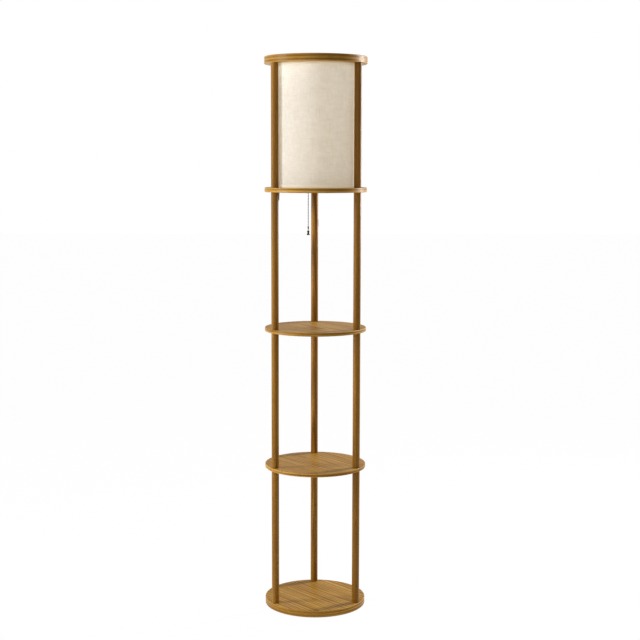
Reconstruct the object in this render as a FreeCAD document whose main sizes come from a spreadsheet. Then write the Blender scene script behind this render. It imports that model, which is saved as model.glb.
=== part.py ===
"""Shelf floor lamp: three round poles carry a base, two shelves, a shade floor and a top ring.

Millimetres, +Z up. The origin is the centre of the base at floor level, and the camera side is -Y: one
pole stands at the back and two stand at the front.
"""

import FreeCAD, Part
import math
import os
import Sketcher

SIZES = {
    # Heights of the faces that things stand on
    "base_top": 20.0,
    "lower_shelf_top": 420.0,
    "upper_shelf_top": 820.0,
    "shade_floor_top": 1221.0,
    "overall_height": 1587.5,
    # Round boards
    "disc_radius": 146.0,
    "shelf_thickness": 10.0,
    "shade_floor_thickness": 13.0,
    "band_thickness": 1.5,
    "band_round": 1.2,
    # Top ring
    "ring_thickness": 20.5,
    "ring_width": 34.0,
    "ring_round": 2.0,
    "ring_bore_depth": 14.0,
    # Poles
    "pole_inset": 12.0,
    "pole_radius": 10.5,
    "pole_chamfer": 0.8,
    "pole_bore_depth": 20.0,
    # Threaded inserts and the studs that join the poles through the boards
    "insert_radius": 5.0,
    "insert_length": 12.0,
    "insert_recess": 0.5,
    "stud_radius": 3.0,
    "stud_reach": 16.0,
    "ring_stud_reach": 12.0,
    "press_gap": 0.05,
    "bolt_gap": 0.3,
    # Bolts under the base
    "bolt_head_radius": 5.5,
    "bolt_head_height": 3.5,
    "bolt_socket_radius": 2.3,
    "bolt_socket_depth": 2.0,
    "washer_radius": 8.0,
    "washer_thickness": 1.2,
    "counterbore_radius": 9.0,
    "counterbore_depth": 6.0,
    # Felt feet
    "foot_thickness": 1.5,
    "foot_radius": 9.0,
    "foot_inset": 24.0,
    # Drum shade
    "shade_clearance": 2.5,
    "fabric_thickness": 0.8,
    "liner_gap": 0.5,
    "liner_thickness": 0.3,
    "trim_height": 9.0,
    "trim_thickness": 0.4,
    "hoop_wire_radius": 1.25,
    "shade_top_gap": 0.5,
    # Clips that hold the lower hoop down, and their screws
    "clip_width": 8.0,
    "clip_sheet": 0.8,
    "clip_gap": 0.3,
    "clip_foot_length": 14.0,
    "clip_tongue_reach": 0.6,
    "clip_screw_inset": 9.8,
    "clip_screw_radius": 1.6,
    "clip_screw_length": 9.0,
    "clip_screw_head_radius": 3.2,
    "clip_screw_head_height": 1.6,
    "clip_screw_head_round": 0.8,
    # Threaded tube that carries the lamp holder
    "nipple_radius": 4.85,
    "nipple_bore_radius": 3.5,
    "nipple_rise": 14.0,
    "nut_flats": 15.0,
    "nut_thickness": 4.0,
    "nipple_washer_radius": 10.0,
    "recess_radius": 12.5,
    "recess_depth": 6.5,
    "collar_radius": 11.0,
    "collar_thickness": 3.0,
    # Lamp holder
    "cap_height": 17.0,
    "cap_neck_radius": 7.5,
    "cap_bell_radius": 10.6,
    "shell_radius": 16.2,
    "shell_wall": 0.8,
    "shell_overlap": 3.0,
    "shell_length": 45.0,
    "sleeve_wall": 0.6,
    "wall_gap": 0.2,
    "core_bottom": 16.0,
    "core_length": 21.0,
    "thread_shell_inset": 0.5,
    "thread_shell_wall": 0.5,
    "thread_shell_length": 24.0,
    "thread_shell_hole_radius": 6.0,
    "contact_radius": 3.0,
    "contact_height": 2.4,
    "contact_crown_radius": 1.5,
    "contact_rim_height": 1.2,
    # Pull switch inside the lamp holder
    "guide_height": 26.0,
    "guide_radius": 3.5,
    "guide_clearance": 1.3,
    "guide_bore_radius": 2.3,
    "guide_mouth_radius": 4.5,
    "guide_margin": 2.0,
    "guide_rise": 5.0,
    "guide_flare_height": 2.0,
    "guide_arm_radius": 2.4,
    "guide_arm_gap": 1.6,
    "rotor_radius": 7.0,
    "rotor_thickness": 4.4,
    "rotor_offset": 3.0,
    "rotor_notch_radius": 1.6,
    "rotor_gap": 0.4,
    "axle_radius": 1.5,
    "axle_length": 14.0,
    "running_gap": 0.05,
    # Pull chain: its beads and its knob
    "chain_bead_radius": 1.6,
    "chain_wire_radius": 0.45,
    "chain_pitch": 4.4,
    "chain_travel": 12.0,
    "chain_joint_gap": 0.4,
    "chain_pivot_drop": 5.0,
    "chain_hang": 110.0,
    "coupling_radius": 2.1,
    "coupling_wall": 0.25,
    "coupling_length": 8.4,
    "coupling_above_knob": 4.6,
    "knob_height": 13.0,
    "knob_radius": 4.5,
    "knob_lip_width": 0.6,
    "knob_lip_height": 0.65,
    "knob_lip_round": 0.8,
    "knob_skirt_height": 2.1,
    "knob_waist_radius": 2.7,
    "knob_waist_height": 6.8,
    "knob_flare_radius": 7.8,
    "knob_head_radius": 3.6,
    "knob_head_bottom": 9.4,
    "knob_head_top": 10.4,
    "knob_crown_radius": 2.0,
    "knob_crown_round": 3.4,
    "knob_cavity_radius": 2.0,
    "knob_cavity_depth": 7.0,
    "eyelet_bore_radius": 3.0,
    "eyelet_wall": 0.8,
    "eyelet_flange": 2.0,
    "eyelet_sheet": 0.8,
    # Bulb
    "bulb_seat_gap": 0.3,
    "bulb_tip_radius": 4.6,
    "bulb_tip_face_radius": 2.8,
    "bulb_tip_height": 1.4,
    "bulb_tip_edge_height": 0.8,
    "bulb_insulator_height": 2.2,
    "bulb_insulator_foot_radius": 5.5,
    "bulb_cap_play": 0.3,
    "bulb_cap_shoulder": 2.6,
    "bulb_cap_length": 22.0,
    "bulb_cap_wall": 0.4,
    "bulb_neck_overhang": 0.5,
    "bulb_neck_height": 6.2,
    "bulb_radius": 30.0,
    "bulb_centre_rise": 52.0,
    "bulb_shoulder_radius": 60.0,
    "bulb_glass": 1.0,
    # Outlet for the cord, and the cord clip on the back pole
    "bushing_gap": 3.0,
    "bushing_bore_radius": 3.2,
    "bushing_radius": 4.6,
    "bushing_tip_radius": 3.9,
    "bushing_drop": 24.0,
    "bushing_collar_height": 4.8,
    "bushing_flange_radius": 6.0,
    "bushing_flange_thickness": 1.2,
    "cord_clip_drop": 95.0,
    "cord_clip_length": 24.0,
    "cord_clip_radius": 3.1,
    "cord_clip_end_radius": 2.5,
    "cord_clip_barrel_radius": 130.0,
    "cord_clip_bore_radius": 1.8,
    "cord_clip_web": 3.0,
}

POLE_COUNT = 3
FIRST_POLE_ANGLE = -150.0
BETWEEN_POLES_ANGLE = 30.0
FOOT_COUNT = 6
CORD_CLIP_ANGLE = 50.0
ROTOR_NOTCH_COUNT = 4
NUT_SIDES = 6
BULB_JOIN_ANGLE = -28.0
FULL_TURN = 360.0
MAX_FILES = 60


class Size:
    """A length that carries its value together with the formula that it comes from."""

    def __init__(self, value, formula):
        self.value = value
        self.formula = formula

    def __add__(self, other):
        other = as_size(other)
        return Size(self.value + other.value, f"({self.formula} + {other.formula})")

    def __radd__(self, other):
        return as_size(other) + self

    def __sub__(self, other):
        other = as_size(other)
        return Size(self.value - other.value, f"({self.formula} - {other.formula})")

    def __rsub__(self, other):
        return as_size(other) - self

    def __mul__(self, factor):
        return Size(self.value * factor, f"({self.formula} * {factor!r})")

    def __rmul__(self, factor):
        return self * factor

    def __neg__(self):
        return self * -1.0


def as_size(amount):
    """A plain number as a size."""
    if isinstance(amount, Size):
        return amount
    return Size(float(amount), repr(float(amount)))


def fill_sheet(sheet):
    """Write each driving dimension into its own row, with its name as the alias."""
    for row, (name, value) in enumerate(SIZES.items(), start=1):
        sheet.set(f"A{row}", name.replace("_", " "))
        sheet.set(f"B{row}", str(value))
        sheet.setAlias(f"B{row}", name)


doc = FreeCAD.newDocument("ShelfFloorLamp")
sizes_sheet = doc.addObject("Spreadsheet::Sheet", "Sizes")
fill_sheet(sizes_sheet)
doc.recompute()

named = {name: Size(value, f"Sizes.{name}") for name, value in SIZES.items()}
subparts = []


def dim(name):
    """The driving dimension of that name."""
    return named[name]


# ---------------------------------------------------------------- helpers


def bind(target, path, amount):
    """Tie one property of an object to a size."""
    target.setExpression(path, as_size(amount).formula)


def put(target, x=0.0, y=0.0, z=0.0, turn=0.0):
    """Place an object, with a turn about the upright axis in degrees."""
    target.Placement = FreeCAD.Placement(FreeCAD.Vector(), FreeCAD.Rotation(FreeCAD.Vector(0, 0, 1), turn))
    for axis, amount in (("x", x), ("y", y), ("z", z)):
        bind(target, f"Placement.Base.{axis}", amount)


def keep(target, label):
    """Name a finished sub-part and note it for export."""
    target.Label = label
    subparts.append(target)
    return target


def new_body(label, x=0.0, y=0.0, z=0.0, turn=0.0):
    """A body at its place in the lamp."""
    body = doc.addObject("PartDesign::Body", label)
    body.AllowCompound = True
    put(body, x, y, z, turn)
    return keep(body, label)


def origin_feature(body, role):
    """One of the body's own planes or axes."""
    return next(item for item in body.Origin.OriginFeatures if item.Role == role)


def new_sketch(body, role, x=0.0, y=0.0, z=0.0):
    """A sketch on one of the body's planes, moved by an offset in the plane's own axes."""
    sketch = body.newObject("Sketcher::SketchObject", f"{body.Label}_sketch")
    sketch.AttachmentSupport = [(origin_feature(body, role), "")]
    sketch.MapMode = "FlatFace"
    for axis, amount in (("x", x), ("y", y), ("z", z)):
        bind(sketch, f"AttachmentOffset.Base.{axis}", amount)
    return sketch


def fix_point(sketch, geometry, point, x, y):
    """Hold one sketch point at a distance from the sketch's origin."""
    for kind, axis, amount in (("DistanceX", -2, x), ("DistanceY", -1, y)):
        if isinstance(amount, Size):
            index = sketch.addConstraint(Sketcher.Constraint(kind, -1, 1, geometry, point, amount.value))
            bind(sketch, f"Constraints[{index}]", amount)
        elif amount == 0:
            sketch.addConstraint(Sketcher.Constraint("PointOnObject", geometry, point, axis))
        else:
            sketch.addConstraint(Sketcher.Constraint(kind, -1, 1, geometry, point, amount))


def flat_point(x, y):
    """A vector in the sketch plane from two sizes."""
    return FreeCAD.Vector(as_size(x).value, as_size(y).value, 0)


def arc_between(start, end, radius):
    """The shorter arc from start to end; a positive radius bulges to the right of the way there."""
    middle = (start + end) * 0.5
    half = (end - start).Length / 2
    along = (end - start).normalize()
    left = FreeCAD.Vector(-along.y, along.x, 0)
    reach = math.sqrt(max(radius * radius - half * half, 0.0))
    centre = middle + left * math.copysign(reach, radius)
    circle = Part.Circle(centre, FreeCAD.Vector(0, 0, 1), abs(radius))
    first, last = (start, end) if radius > 0 else (end, start)
    return Part.ArcOfCircle(circle, circle.parameter(first), circle.parameter(last))


def outline(sketch, corners):
    """A closed loop through corners (x, y), or (x, y, radius) where an arc leads to the corner."""
    points = [flat_point(corner[0], corner[1]) for corner in corners]
    ends = []
    for index, corner in enumerate(corners):
        start, end = points[index - 1], points[index]
        if len(corner) == 2:
            edge = sketch.addGeometry(Part.LineSegment(start, end))
            ends.append((edge, 1, 2))
            continue
        radius = as_size(corner[2])
        edge = sketch.addGeometry(arc_between(start, end, radius.value))
        ends.append((edge, 1, 2) if radius.value > 0 else (edge, 2, 1))
        index = sketch.addConstraint(Sketcher.Constraint("Radius", edge, abs(radius.value)))
        bind(sketch, f"Constraints[{index}]", radius if radius.value > 0 else -radius)
    for index, corner in enumerate(corners):
        edge, _, end_point = ends[index]
        following, start_point, _ = ends[(index + 1) % len(corners)]
        sketch.addConstraint(Sketcher.Constraint("Coincident", edge, end_point, following, start_point))
        fix_point(sketch, edge, end_point, corner[0], corner[1])


def circle_in(sketch, radius, x=0.0, y=0.0):
    """A full circle about a point of the sketch."""
    size = as_size(radius)
    circle = Part.Circle(flat_point(x, y), FreeCAD.Vector(0, 0, 1), size.value)
    geometry = sketch.addGeometry(circle)
    index = sketch.addConstraint(Sketcher.Constraint("Radius", geometry, size.value))
    bind(sketch, f"Constraints[{index}]", size)
    fix_point(sketch, geometry, 3, x, y)


def rectangle_in(sketch, x_low, x_high, y_low, y_high):
    """A rectangle between four sizes."""
    outline(sketch, [(x_low, y_low), (x_high, y_low), (x_high, y_high), (x_low, y_high)])


def revolve(body, corners, x=0.0, z=0.0):
    """Turn a half section (radius, height) about the upright line at x."""
    sketch = new_sketch(body, "XZ_Plane", x=x, y=z)
    outline(sketch, corners)
    turned = body.newObject("PartDesign::Revolution", f"{body.Label}_turned")
    turned.Profile = sketch
    turned.ReferenceAxis = (sketch, ["V_Axis"])
    turned.Angle = FULL_TURN
    body.Tip = turned
    return turned


def pad(body, sketch, length, midplane=False):
    """Raise a sketch into material."""
    raised = body.newObject("PartDesign::Pad", f"{body.Label}_pad")
    raised.Profile = sketch
    bind(raised, "Length", length)
    if midplane:
        raised.SideType = "Symmetric"
    body.Tip = raised
    return raised


def pocket(body, sketch, length, upwards=False, midplane=False):
    """Cut a sketch into the body, down from it or up from it, and make sure that it cuts."""
    doc.recompute()
    before = body.Shape.Volume
    cut = body.newObject("PartDesign::Pocket", f"{body.Label}_pocket")
    cut.Profile = sketch
    bind(cut, "Length", length)
    cut.Reversed = upwards
    if midplane:
        cut.SideType = "Symmetric"
    body.Tip = cut
    doc.recompute()
    if body.Shape.Volume >= before:
        raise RuntimeError(f"{cut.Name} cuts nothing")
    return cut


def around(body, features, count=POLE_COUNT, role="Z_Axis"):
    """Repeat features round one of the body's axes."""
    pattern = body.newObject("PartDesign::PolarPattern", f"{body.Label}_around")
    pattern.Originals = features
    pattern.Axis = (origin_feature(body, role), [""])
    pattern.Angle = FULL_TURN
    pattern.Occurrences = count
    body.Tip = pattern
    return pattern


def tube_section(inner, outer, length, bottom=0.0):
    """Half section of a plain tube."""
    return [(inner, bottom), (outer, bottom), (outer, bottom + length), (inner, bottom + length)]


# ---------------------------------------------------------------- places that several pieces share

pole_circle = dim("disc_radius") - dim("pole_inset")
foot_circle = dim("disc_radius") - dim("foot_inset")
ring_hole_radius = dim("disc_radius") - dim("ring_width")
shade_radius = pole_circle - dim("pole_radius") - dim("shade_clearance")
fabric_inner = shade_radius - dim("fabric_thickness")
liner_outer = fabric_inner - dim("liner_gap")
liner_inner = liner_outer - dim("liner_thickness")
hoop_radius = liner_inner - dim("trim_thickness") - dim("hoop_wire_radius")
bushing_offset = hoop_radius - dim("hoop_wire_radius") - dim("bushing_gap") - dim("bushing_flange_radius")
chain_offset = dim("shell_radius") + dim("guide_clearance") + dim("guide_radius")

floor_top = dim("shade_floor_top")
floor_underside = floor_top - dim("shade_floor_thickness")
ring_underside = dim("overall_height") - dim("ring_thickness")
lower_underside = dim("lower_shelf_top") - dim("shelf_thickness")
upper_underside = dim("upper_shelf_top") - dim("shelf_thickness")
base_thickness = dim("base_top") - dim("foot_thickness")
stud_hole_radius = dim("stud_radius") + dim("bolt_gap")
insert_bore_radius = dim("insert_radius") + dim("press_gap")

POLE_SPANS = [
    ("lower", dim("base_top"), lower_underside),
    ("middle", dim("lower_shelf_top"), upper_underside),
    ("upper", dim("upper_shelf_top"), floor_underside),
    ("shade", floor_top, ring_underside),
]
POLE_NAMES = ["front_left", "front_right", "back"]


# ---------------------------------------------------------------- boards and their edge bands


def round_board(label, underside, thickness):
    """A veneered disc with a stud hole for each pole."""
    body = new_body(label, z=underside, turn=FIRST_POLE_ANGLE)
    disc = new_sketch(body, "XY_Plane")
    circle_in(disc, dim("disc_radius") - dim("band_thickness"))
    pad(body, disc, thickness)
    hole = new_sketch(body, "XY_Plane", z=thickness)
    circle_in(hole, stud_hole_radius, x=pole_circle)
    drilled = pocket(body, hole, thickness)
    around(body, [drilled])
    return body


def edge_band(label, underside, thickness):
    """The band round a disc, with its two outer edges rounded over."""
    inner = dim("disc_radius") - dim("band_thickness")
    outer = dim("disc_radius")
    rounding = dim("band_round")
    body = new_body(label, z=underside)
    revolve(
        body,
        [
            (inner, 0.0),
            (outer - rounding, 0.0),
            (outer, rounding, rounding),
            (outer, thickness - rounding),
            (outer - rounding, thickness, rounding),
            (inner, thickness),
        ],
    )


def cut_below(body, radius, depth, x=0.0, y=0.0):
    """A round recess in the underside of a board."""
    sketch = new_sketch(body, "XY_Plane")
    circle_in(sketch, radius, x=x, y=y)
    return pocket(body, sketch, depth, upwards=True)


base_board = round_board("base_board", dim("foot_thickness"), base_thickness)
counterbore = cut_below(base_board, dim("counterbore_radius"), dim("counterbore_depth"), x=pole_circle)
around(base_board, [counterbore])
edge_band("base_edge_band", dim("foot_thickness"), base_thickness)

round_board("lower_shelf_board", lower_underside, dim("shelf_thickness"))
edge_band("lower_shelf_edge_band", lower_underside, dim("shelf_thickness"))
round_board("upper_shelf_board", upper_underside, dim("shelf_thickness"))
edge_band("upper_shelf_edge_band", upper_underside, dim("shelf_thickness"))

shade_floor = round_board("shade_floor_board", floor_underside, dim("shade_floor_thickness"))
edge_band("shade_floor_edge_band", floor_underside, dim("shade_floor_thickness"))


def turned_place(x, y):
    """Where a point of the lamp lies in the shade floor's own turned axes."""
    angle = math.radians(-FIRST_POLE_ANGLE)
    along = x * math.cos(angle) - y * math.sin(angle)
    across = x * math.sin(angle) + y * math.cos(angle)
    return along, across


def drill_floor(radius, x=0.0, y=0.0):
    """A round hole right through the shade floor."""
    along, across = turned_place(as_size(x), as_size(y))
    sketch = new_sketch(shade_floor, "XY_Plane", z=dim("shade_floor_thickness"))
    circle_in(sketch, radius, x=along, y=across)
    return pocket(shade_floor, sketch, dim("shade_floor_thickness"))


drill_floor(dim("nipple_radius") + dim("bolt_gap"))
cut_below(shade_floor, dim("recess_radius"), dim("recess_depth"))
drill_floor(dim("eyelet_bore_radius") + dim("eyelet_wall") + dim("press_gap"), x=-chain_offset)
bushing_barrel_radius = dim("bushing_radius") - dim("bolt_gap")
drill_floor(bushing_barrel_radius + dim("press_gap"), x=-bushing_offset)

# ---------------------------------------------------------------- top ring


def top_ring():
    """The open ring that closes the poles, with a blind bore over each of them."""
    body = new_body("top_ring", z=ring_underside, turn=FIRST_POLE_ANGLE)
    inner = ring_hole_radius
    outer = dim("disc_radius")
    height = dim("ring_thickness")
    rounding = dim("ring_round")
    revolve(
        body,
        [
            (inner + rounding, 0.0, rounding),
            (outer - rounding, 0.0),
            (outer, rounding, rounding),
            (outer, height - rounding),
            (outer - rounding, height, rounding),
            (inner + rounding, height),
            (inner, height - rounding, rounding),
            (inner, rounding),
        ],
    )
    return body


ring = top_ring()
around(ring, [cut_below(ring, insert_bore_radius, dim("ring_bore_depth"), x=pole_circle)])

# ---------------------------------------------------------------- poles and their fasteners


def pole_place(index):
    """The foot of a pole, as two sizes."""
    angle = math.radians(FIRST_POLE_ANGLE + index * FULL_TURN / POLE_COUNT)
    return pole_circle * math.cos(angle), pole_circle * math.sin(angle)


def pole(label, index, bottom, top):
    """One dowel between two boards, bored at both ends."""
    x, y = pole_place(index)
    body = new_body(label, x=x, y=y, z=bottom)
    length = top - bottom
    radius = dim("pole_radius")
    chamfer = dim("pole_chamfer")
    depth = dim("pole_bore_depth")
    bore = insert_bore_radius
    revolve(
        body,
        [
            (0.0, depth),
            (bore, depth),
            (bore, 0.0),
            (radius - chamfer, 0.0),
            (radius, chamfer),
            (radius, length - chamfer),
            (radius - chamfer, length),
            (bore, length),
            (bore, length - depth),
            (0.0, length - depth),
        ],
    )


for index, side in enumerate(POLE_NAMES):
    for span, bottom, top in POLE_SPANS:
        pole(f"pole_{side}_{span}", index, bottom, top)


def fastener_ring(label, sections):
    """Turned fasteners at one pole, repeated at the other poles as separate solids."""
    body = new_body(label, turn=FIRST_POLE_ANGLE)
    turned = [revolve(body, corners, x=pole_circle, z=bottom) for corners, bottom in sections]
    around(body, turned)


stud_in_insert_radius = dim("stud_radius") + dim("press_gap")
insert_section = tube_section(stud_in_insert_radius, dim("insert_radius"), dim("insert_length"))
insert_bottoms = [ring_underside + dim("insert_recess")]
for _, bottom, top in POLE_SPANS:
    insert_bottoms += [bottom + dim("insert_recess"), top - dim("insert_recess") - dim("insert_length")]
fastener_ring("threaded_inserts", [(insert_section, bottom) for bottom in insert_bottoms])


def stud_section(bottom, top):
    """Half section of a stud between two heights."""
    return [(0.0, 0.0), (dim("stud_radius"), 0.0), (dim("stud_radius"), top - bottom), (0.0, top - bottom)]


def through_stud(underside, board_top):
    """A stud that reaches into the poles on both sides of a board."""
    bottom = underside - dim("stud_reach")
    return stud_section(bottom, board_top + dim("stud_reach")), bottom


fastener_ring(
    "board_studs",
    [
        through_stud(lower_underside, dim("lower_shelf_top")),
        through_stud(upper_underside, dim("upper_shelf_top")),
        through_stud(floor_underside, floor_top),
    ],
)
ring_stud_bottom = ring_underside - dim("stud_reach")
ring_stud_top = ring_underside + dim("ring_stud_reach")
fastener_ring("ring_studs", [(stud_section(ring_stud_bottom, ring_stud_top), ring_stud_bottom)])

washer_bottom = dim("foot_thickness") + dim("counterbore_depth") - dim("washer_thickness")
fastener_ring(
    "base_washers",
    [(tube_section(stud_hole_radius, dim("washer_radius"), dim("washer_thickness")), washer_bottom)],
)
bolt_bottom = washer_bottom - dim("bolt_head_height")
bolt_length = dim("base_top") + dim("stud_reach") - bolt_bottom
fastener_ring(
    "base_bolts",
    [
        (
            [
                (0.0, dim("bolt_socket_depth")),
                (dim("bolt_socket_radius"), dim("bolt_socket_depth")),
                (dim("bolt_socket_radius"), 0.0),
                (dim("bolt_head_radius"), 0.0),
                (dim("bolt_head_radius"), dim("bolt_head_height")),
                (dim("stud_radius"), dim("bolt_head_height")),
                (dim("stud_radius"), bolt_length),
                (0.0, bolt_length),
            ],
            bolt_bottom,
        )
    ],
)


def foot_pads():
    """Felt pads under the base, clear of its bolts."""
    body = new_body("foot_pads")
    sketch = new_sketch(body, "XY_Plane")
    circle_in(sketch, dim("foot_radius"), x=foot_circle)
    around(body, [pad(body, sketch, dim("foot_thickness"))], count=FOOT_COUNT)


foot_pads()

# ---------------------------------------------------------------- drum shade

shade_height = ring_underside - dim("shade_top_gap") - floor_top
cloth_height = shade_height - 2 * dim("trim_thickness")
cloth_bottom = floor_top + dim("trim_thickness")


def shade_layer(label, inner, outer):
    """One layer of the drum, between the turned edges of its trims."""
    body = new_body(label, z=cloth_bottom)
    revolve(body, tube_section(inner, outer, cloth_height))


shade_layer("shade_fabric", fabric_inner, shade_radius)
shade_layer("shade_liner", liner_inner, liner_outer)


def shade_trim(label, height, upwards):
    """Tape folded over an edge of the drum; its section opens upwards or downwards."""
    body = new_body(label, z=height)
    sheet = dim("trim_thickness")
    edge, inside_fold, tips = 0.0, sheet, dim("trim_height")
    if not upwards:
        inside_fold, tips = -sheet, -dim("trim_height")
    corners = [
        (liner_inner - sheet, edge),
        (shade_radius + sheet, edge),
        (shade_radius + sheet, tips),
        (shade_radius, tips),
        (shade_radius, inside_fold),
        (liner_inner, inside_fold),
        (liner_inner, tips),
        (liner_inner - sheet, tips),
    ]
    revolve(body, corners)


shade_trim("shade_bottom_trim", floor_top, upwards=True)
shade_trim("shade_top_trim", floor_top + shade_height, upwards=False)


def shade_hoop(label, height):
    """A wire ring inside an edge of the drum."""
    ring_wire = doc.addObject("Part::Torus", label)
    bind(ring_wire, "Radius1", hoop_radius)
    bind(ring_wire, "Radius2", dim("hoop_wire_radius"))
    put(ring_wire, z=height)
    keep(ring_wire, label)


shade_hoop("shade_bottom_hoop", floor_top + dim("hoop_wire_radius"))
shade_hoop("shade_top_hoop", floor_top + shade_height - dim("trim_thickness") - dim("hoop_wire_radius"))


def clip_corners():
    """Section of a hoop clip: a foot on the floor, a riser and a tongue over the wire."""
    sheet = dim("clip_sheet")
    riser = hoop_radius - dim("hoop_wire_radius") - dim("clip_gap")
    over = 2 * dim("hoop_wire_radius") + dim("clip_gap")
    tongue_tip = hoop_radius + dim("clip_tongue_reach")
    return [
        (riser - dim("clip_foot_length"), 0.0),
        (riser, 0.0),
        (riser, over),
        (tongue_tip, over),
        (tongue_tip, over + sheet),
        (riser - sheet, over + sheet),
        (riser - sheet, sheet),
        (riser - dim("clip_foot_length"), sheet),
    ]


clip_screw_circle = hoop_radius - dim("clip_screw_inset")


def hoop_clips():
    """Bent clips between the poles, each with a screw hole."""
    body = new_body("shade_clips", z=floor_top, turn=BETWEEN_POLES_ANGLE)
    section = new_sketch(body, "XZ_Plane")
    outline(section, clip_corners())
    strip = pad(body, section, dim("clip_width"), midplane=True)
    hole = new_sketch(body, "XY_Plane", z=dim("clip_sheet"))
    circle_in(hole, dim("clip_screw_radius") + dim("press_gap"), x=clip_screw_circle)
    drilled = pocket(body, hole, dim("clip_sheet"))
    around(body, [strip, drilled])


def clip_screws():
    """Round-headed screws that hold the clips to the shade floor."""
    shank = dim("clip_screw_length")
    head = dim("clip_screw_head_height")
    head_radius = dim("clip_screw_head_radius")
    rounding = dim("clip_screw_head_round")
    body = new_body("shade_clip_screws", z=floor_top + dim("clip_sheet") - shank, turn=BETWEEN_POLES_ANGLE)
    turned = revolve(
        body,
        [
            (0.0, 0.0),
            (dim("clip_screw_radius"), 0.0),
            (dim("clip_screw_radius"), shank),
            (head_radius, shank),
            (head_radius, shank + head - rounding),
            (head_radius - rounding, shank + head, rounding),
            (0.0, shank + head),
        ],
        x=clip_screw_circle,
    )
    around(body, [turned])


hoop_clips()
clip_screws()
screw_hole_depth = dim("clip_screw_length") - dim("clip_sheet") + dim("bolt_gap")
screw_hole = new_sketch(shade_floor, "XY_Plane", z=dim("shade_floor_thickness"))
screw_turn = math.radians(BETWEEN_POLES_ANGLE - FIRST_POLE_ANGLE)
circle_in(
    screw_hole,
    dim("clip_screw_radius") + dim("press_gap"),
    x=clip_screw_circle * math.cos(screw_turn),
    y=clip_screw_circle * math.sin(screw_turn),
)
around(shade_floor, [pocket(shade_floor, screw_hole, screw_hole_depth)])

# ---------------------------------------------------------------- tube, nut and collar under the lamp holder

recess_ceiling = floor_underside + dim("recess_depth")
nipple_hole_radius = dim("nipple_radius") + dim("press_gap")
nut_bottom = recess_ceiling - dim("washer_thickness") - dim("nut_thickness")
nipple_length = floor_top + dim("nipple_rise") - nut_bottom
nipple_body = new_body("socket_nipple", z=nut_bottom)
revolve(nipple_body, tube_section(dim("nipple_bore_radius"), dim("nipple_radius"), nipple_length))

washer_body = new_body("nipple_washer", z=recess_ceiling - dim("washer_thickness"))
revolve(washer_body, tube_section(nipple_hole_radius, dim("nipple_washer_radius"), dim("washer_thickness")))


def nipple_nut():
    """The hexagon nut in the recess under the shade floor."""
    body = new_body("nipple_nut", z=nut_bottom)
    corner_radius = dim("nut_flats") * (0.5 / math.cos(math.pi / NUT_SIDES))
    corners = []
    for side in range(NUT_SIDES):
        angle = side * 2 * math.pi / NUT_SIDES
        corners.append((corner_radius * math.cos(angle), corner_radius * math.sin(angle)))
    sketch = new_sketch(body, "XY_Plane")
    outline(sketch, corners)
    pad(body, sketch, dim("nut_thickness"))
    bore = new_sketch(body, "XY_Plane", z=dim("nut_thickness"))
    circle_in(bore, nipple_hole_radius)
    pocket(body, bore, dim("nut_thickness"))


nipple_nut()
collar_body = new_body("socket_collar", z=floor_top)
revolve(collar_body, tube_section(nipple_hole_radius, dim("collar_radius"), dim("collar_thickness")))

# ---------------------------------------------------------------- lamp holder

cap_bottom = floor_top + dim("collar_thickness")
shell_inner = dim("shell_radius") - dim("shell_wall")
shell_bottom = cap_bottom + dim("cap_height") - dim("shell_overlap")
core_radius = shell_inner - 2 * dim("wall_gap") - dim("sleeve_wall")
core_floor = floor_top + dim("core_bottom")
core_top = core_floor + dim("core_length")
guide_level = floor_top + dim("guide_height")
guide_drop = dim("chain_travel") + dim("guide_margin")


def socket_cap():
    """The bell-shaped lower half of the holder's case."""
    body = new_body("socket_cap", z=cap_bottom)
    wall = dim("shell_wall")
    rim = shell_inner - dim("press_gap")
    neck = dim("cap_neck_radius")
    height = dim("cap_height")
    bell = dim("cap_bell_radius")
    revolve(
        body,
        [
            (nipple_hole_radius, 0.0),
            (neck, 0.0),
            (rim, height - dim("shell_overlap"), bell),
            (rim, height),
            (rim - wall, height),
            (rim - wall, height - dim("shell_overlap")),
            (neck - wall, wall, -(bell - wall)),
            (nipple_hole_radius, wall),
        ],
    )


def side_hole(body, radius, level, start, length):
    """A round hole in the chain side of a holder part, from one radius outwards."""
    sketch = new_sketch(body, "YZ_Plane", z=-start)
    circle_in(sketch, radius, y=level)
    return pocket(body, sketch, length)


socket_cap()
arm_hole_radius = dim("guide_arm_radius") + dim("bolt_gap")

shell_body = new_body("socket_shell", z=shell_bottom)
revolve(shell_body, tube_section(shell_inner, dim("shell_radius"), dim("shell_length")))
arm_start = dim("guide_arm_radius")
side_hole(shell_body, arm_hole_radius, guide_level - shell_bottom, arm_start, dim("shell_radius"))

sleeve_outer = shell_inner - dim("wall_gap")
sleeve_bottom = cap_bottom + dim("cap_height") + dim("wall_gap")
sleeve_length = shell_bottom + dim("shell_length") - sleeve_bottom
sleeve_body = new_body("socket_sleeve", z=sleeve_bottom)
revolve(sleeve_body, tube_section(sleeve_outer - dim("sleeve_wall"), sleeve_outer, sleeve_length))
side_hole(sleeve_body, arm_hole_radius, guide_level - sleeve_bottom, arm_start, dim("shell_radius"))


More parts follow.
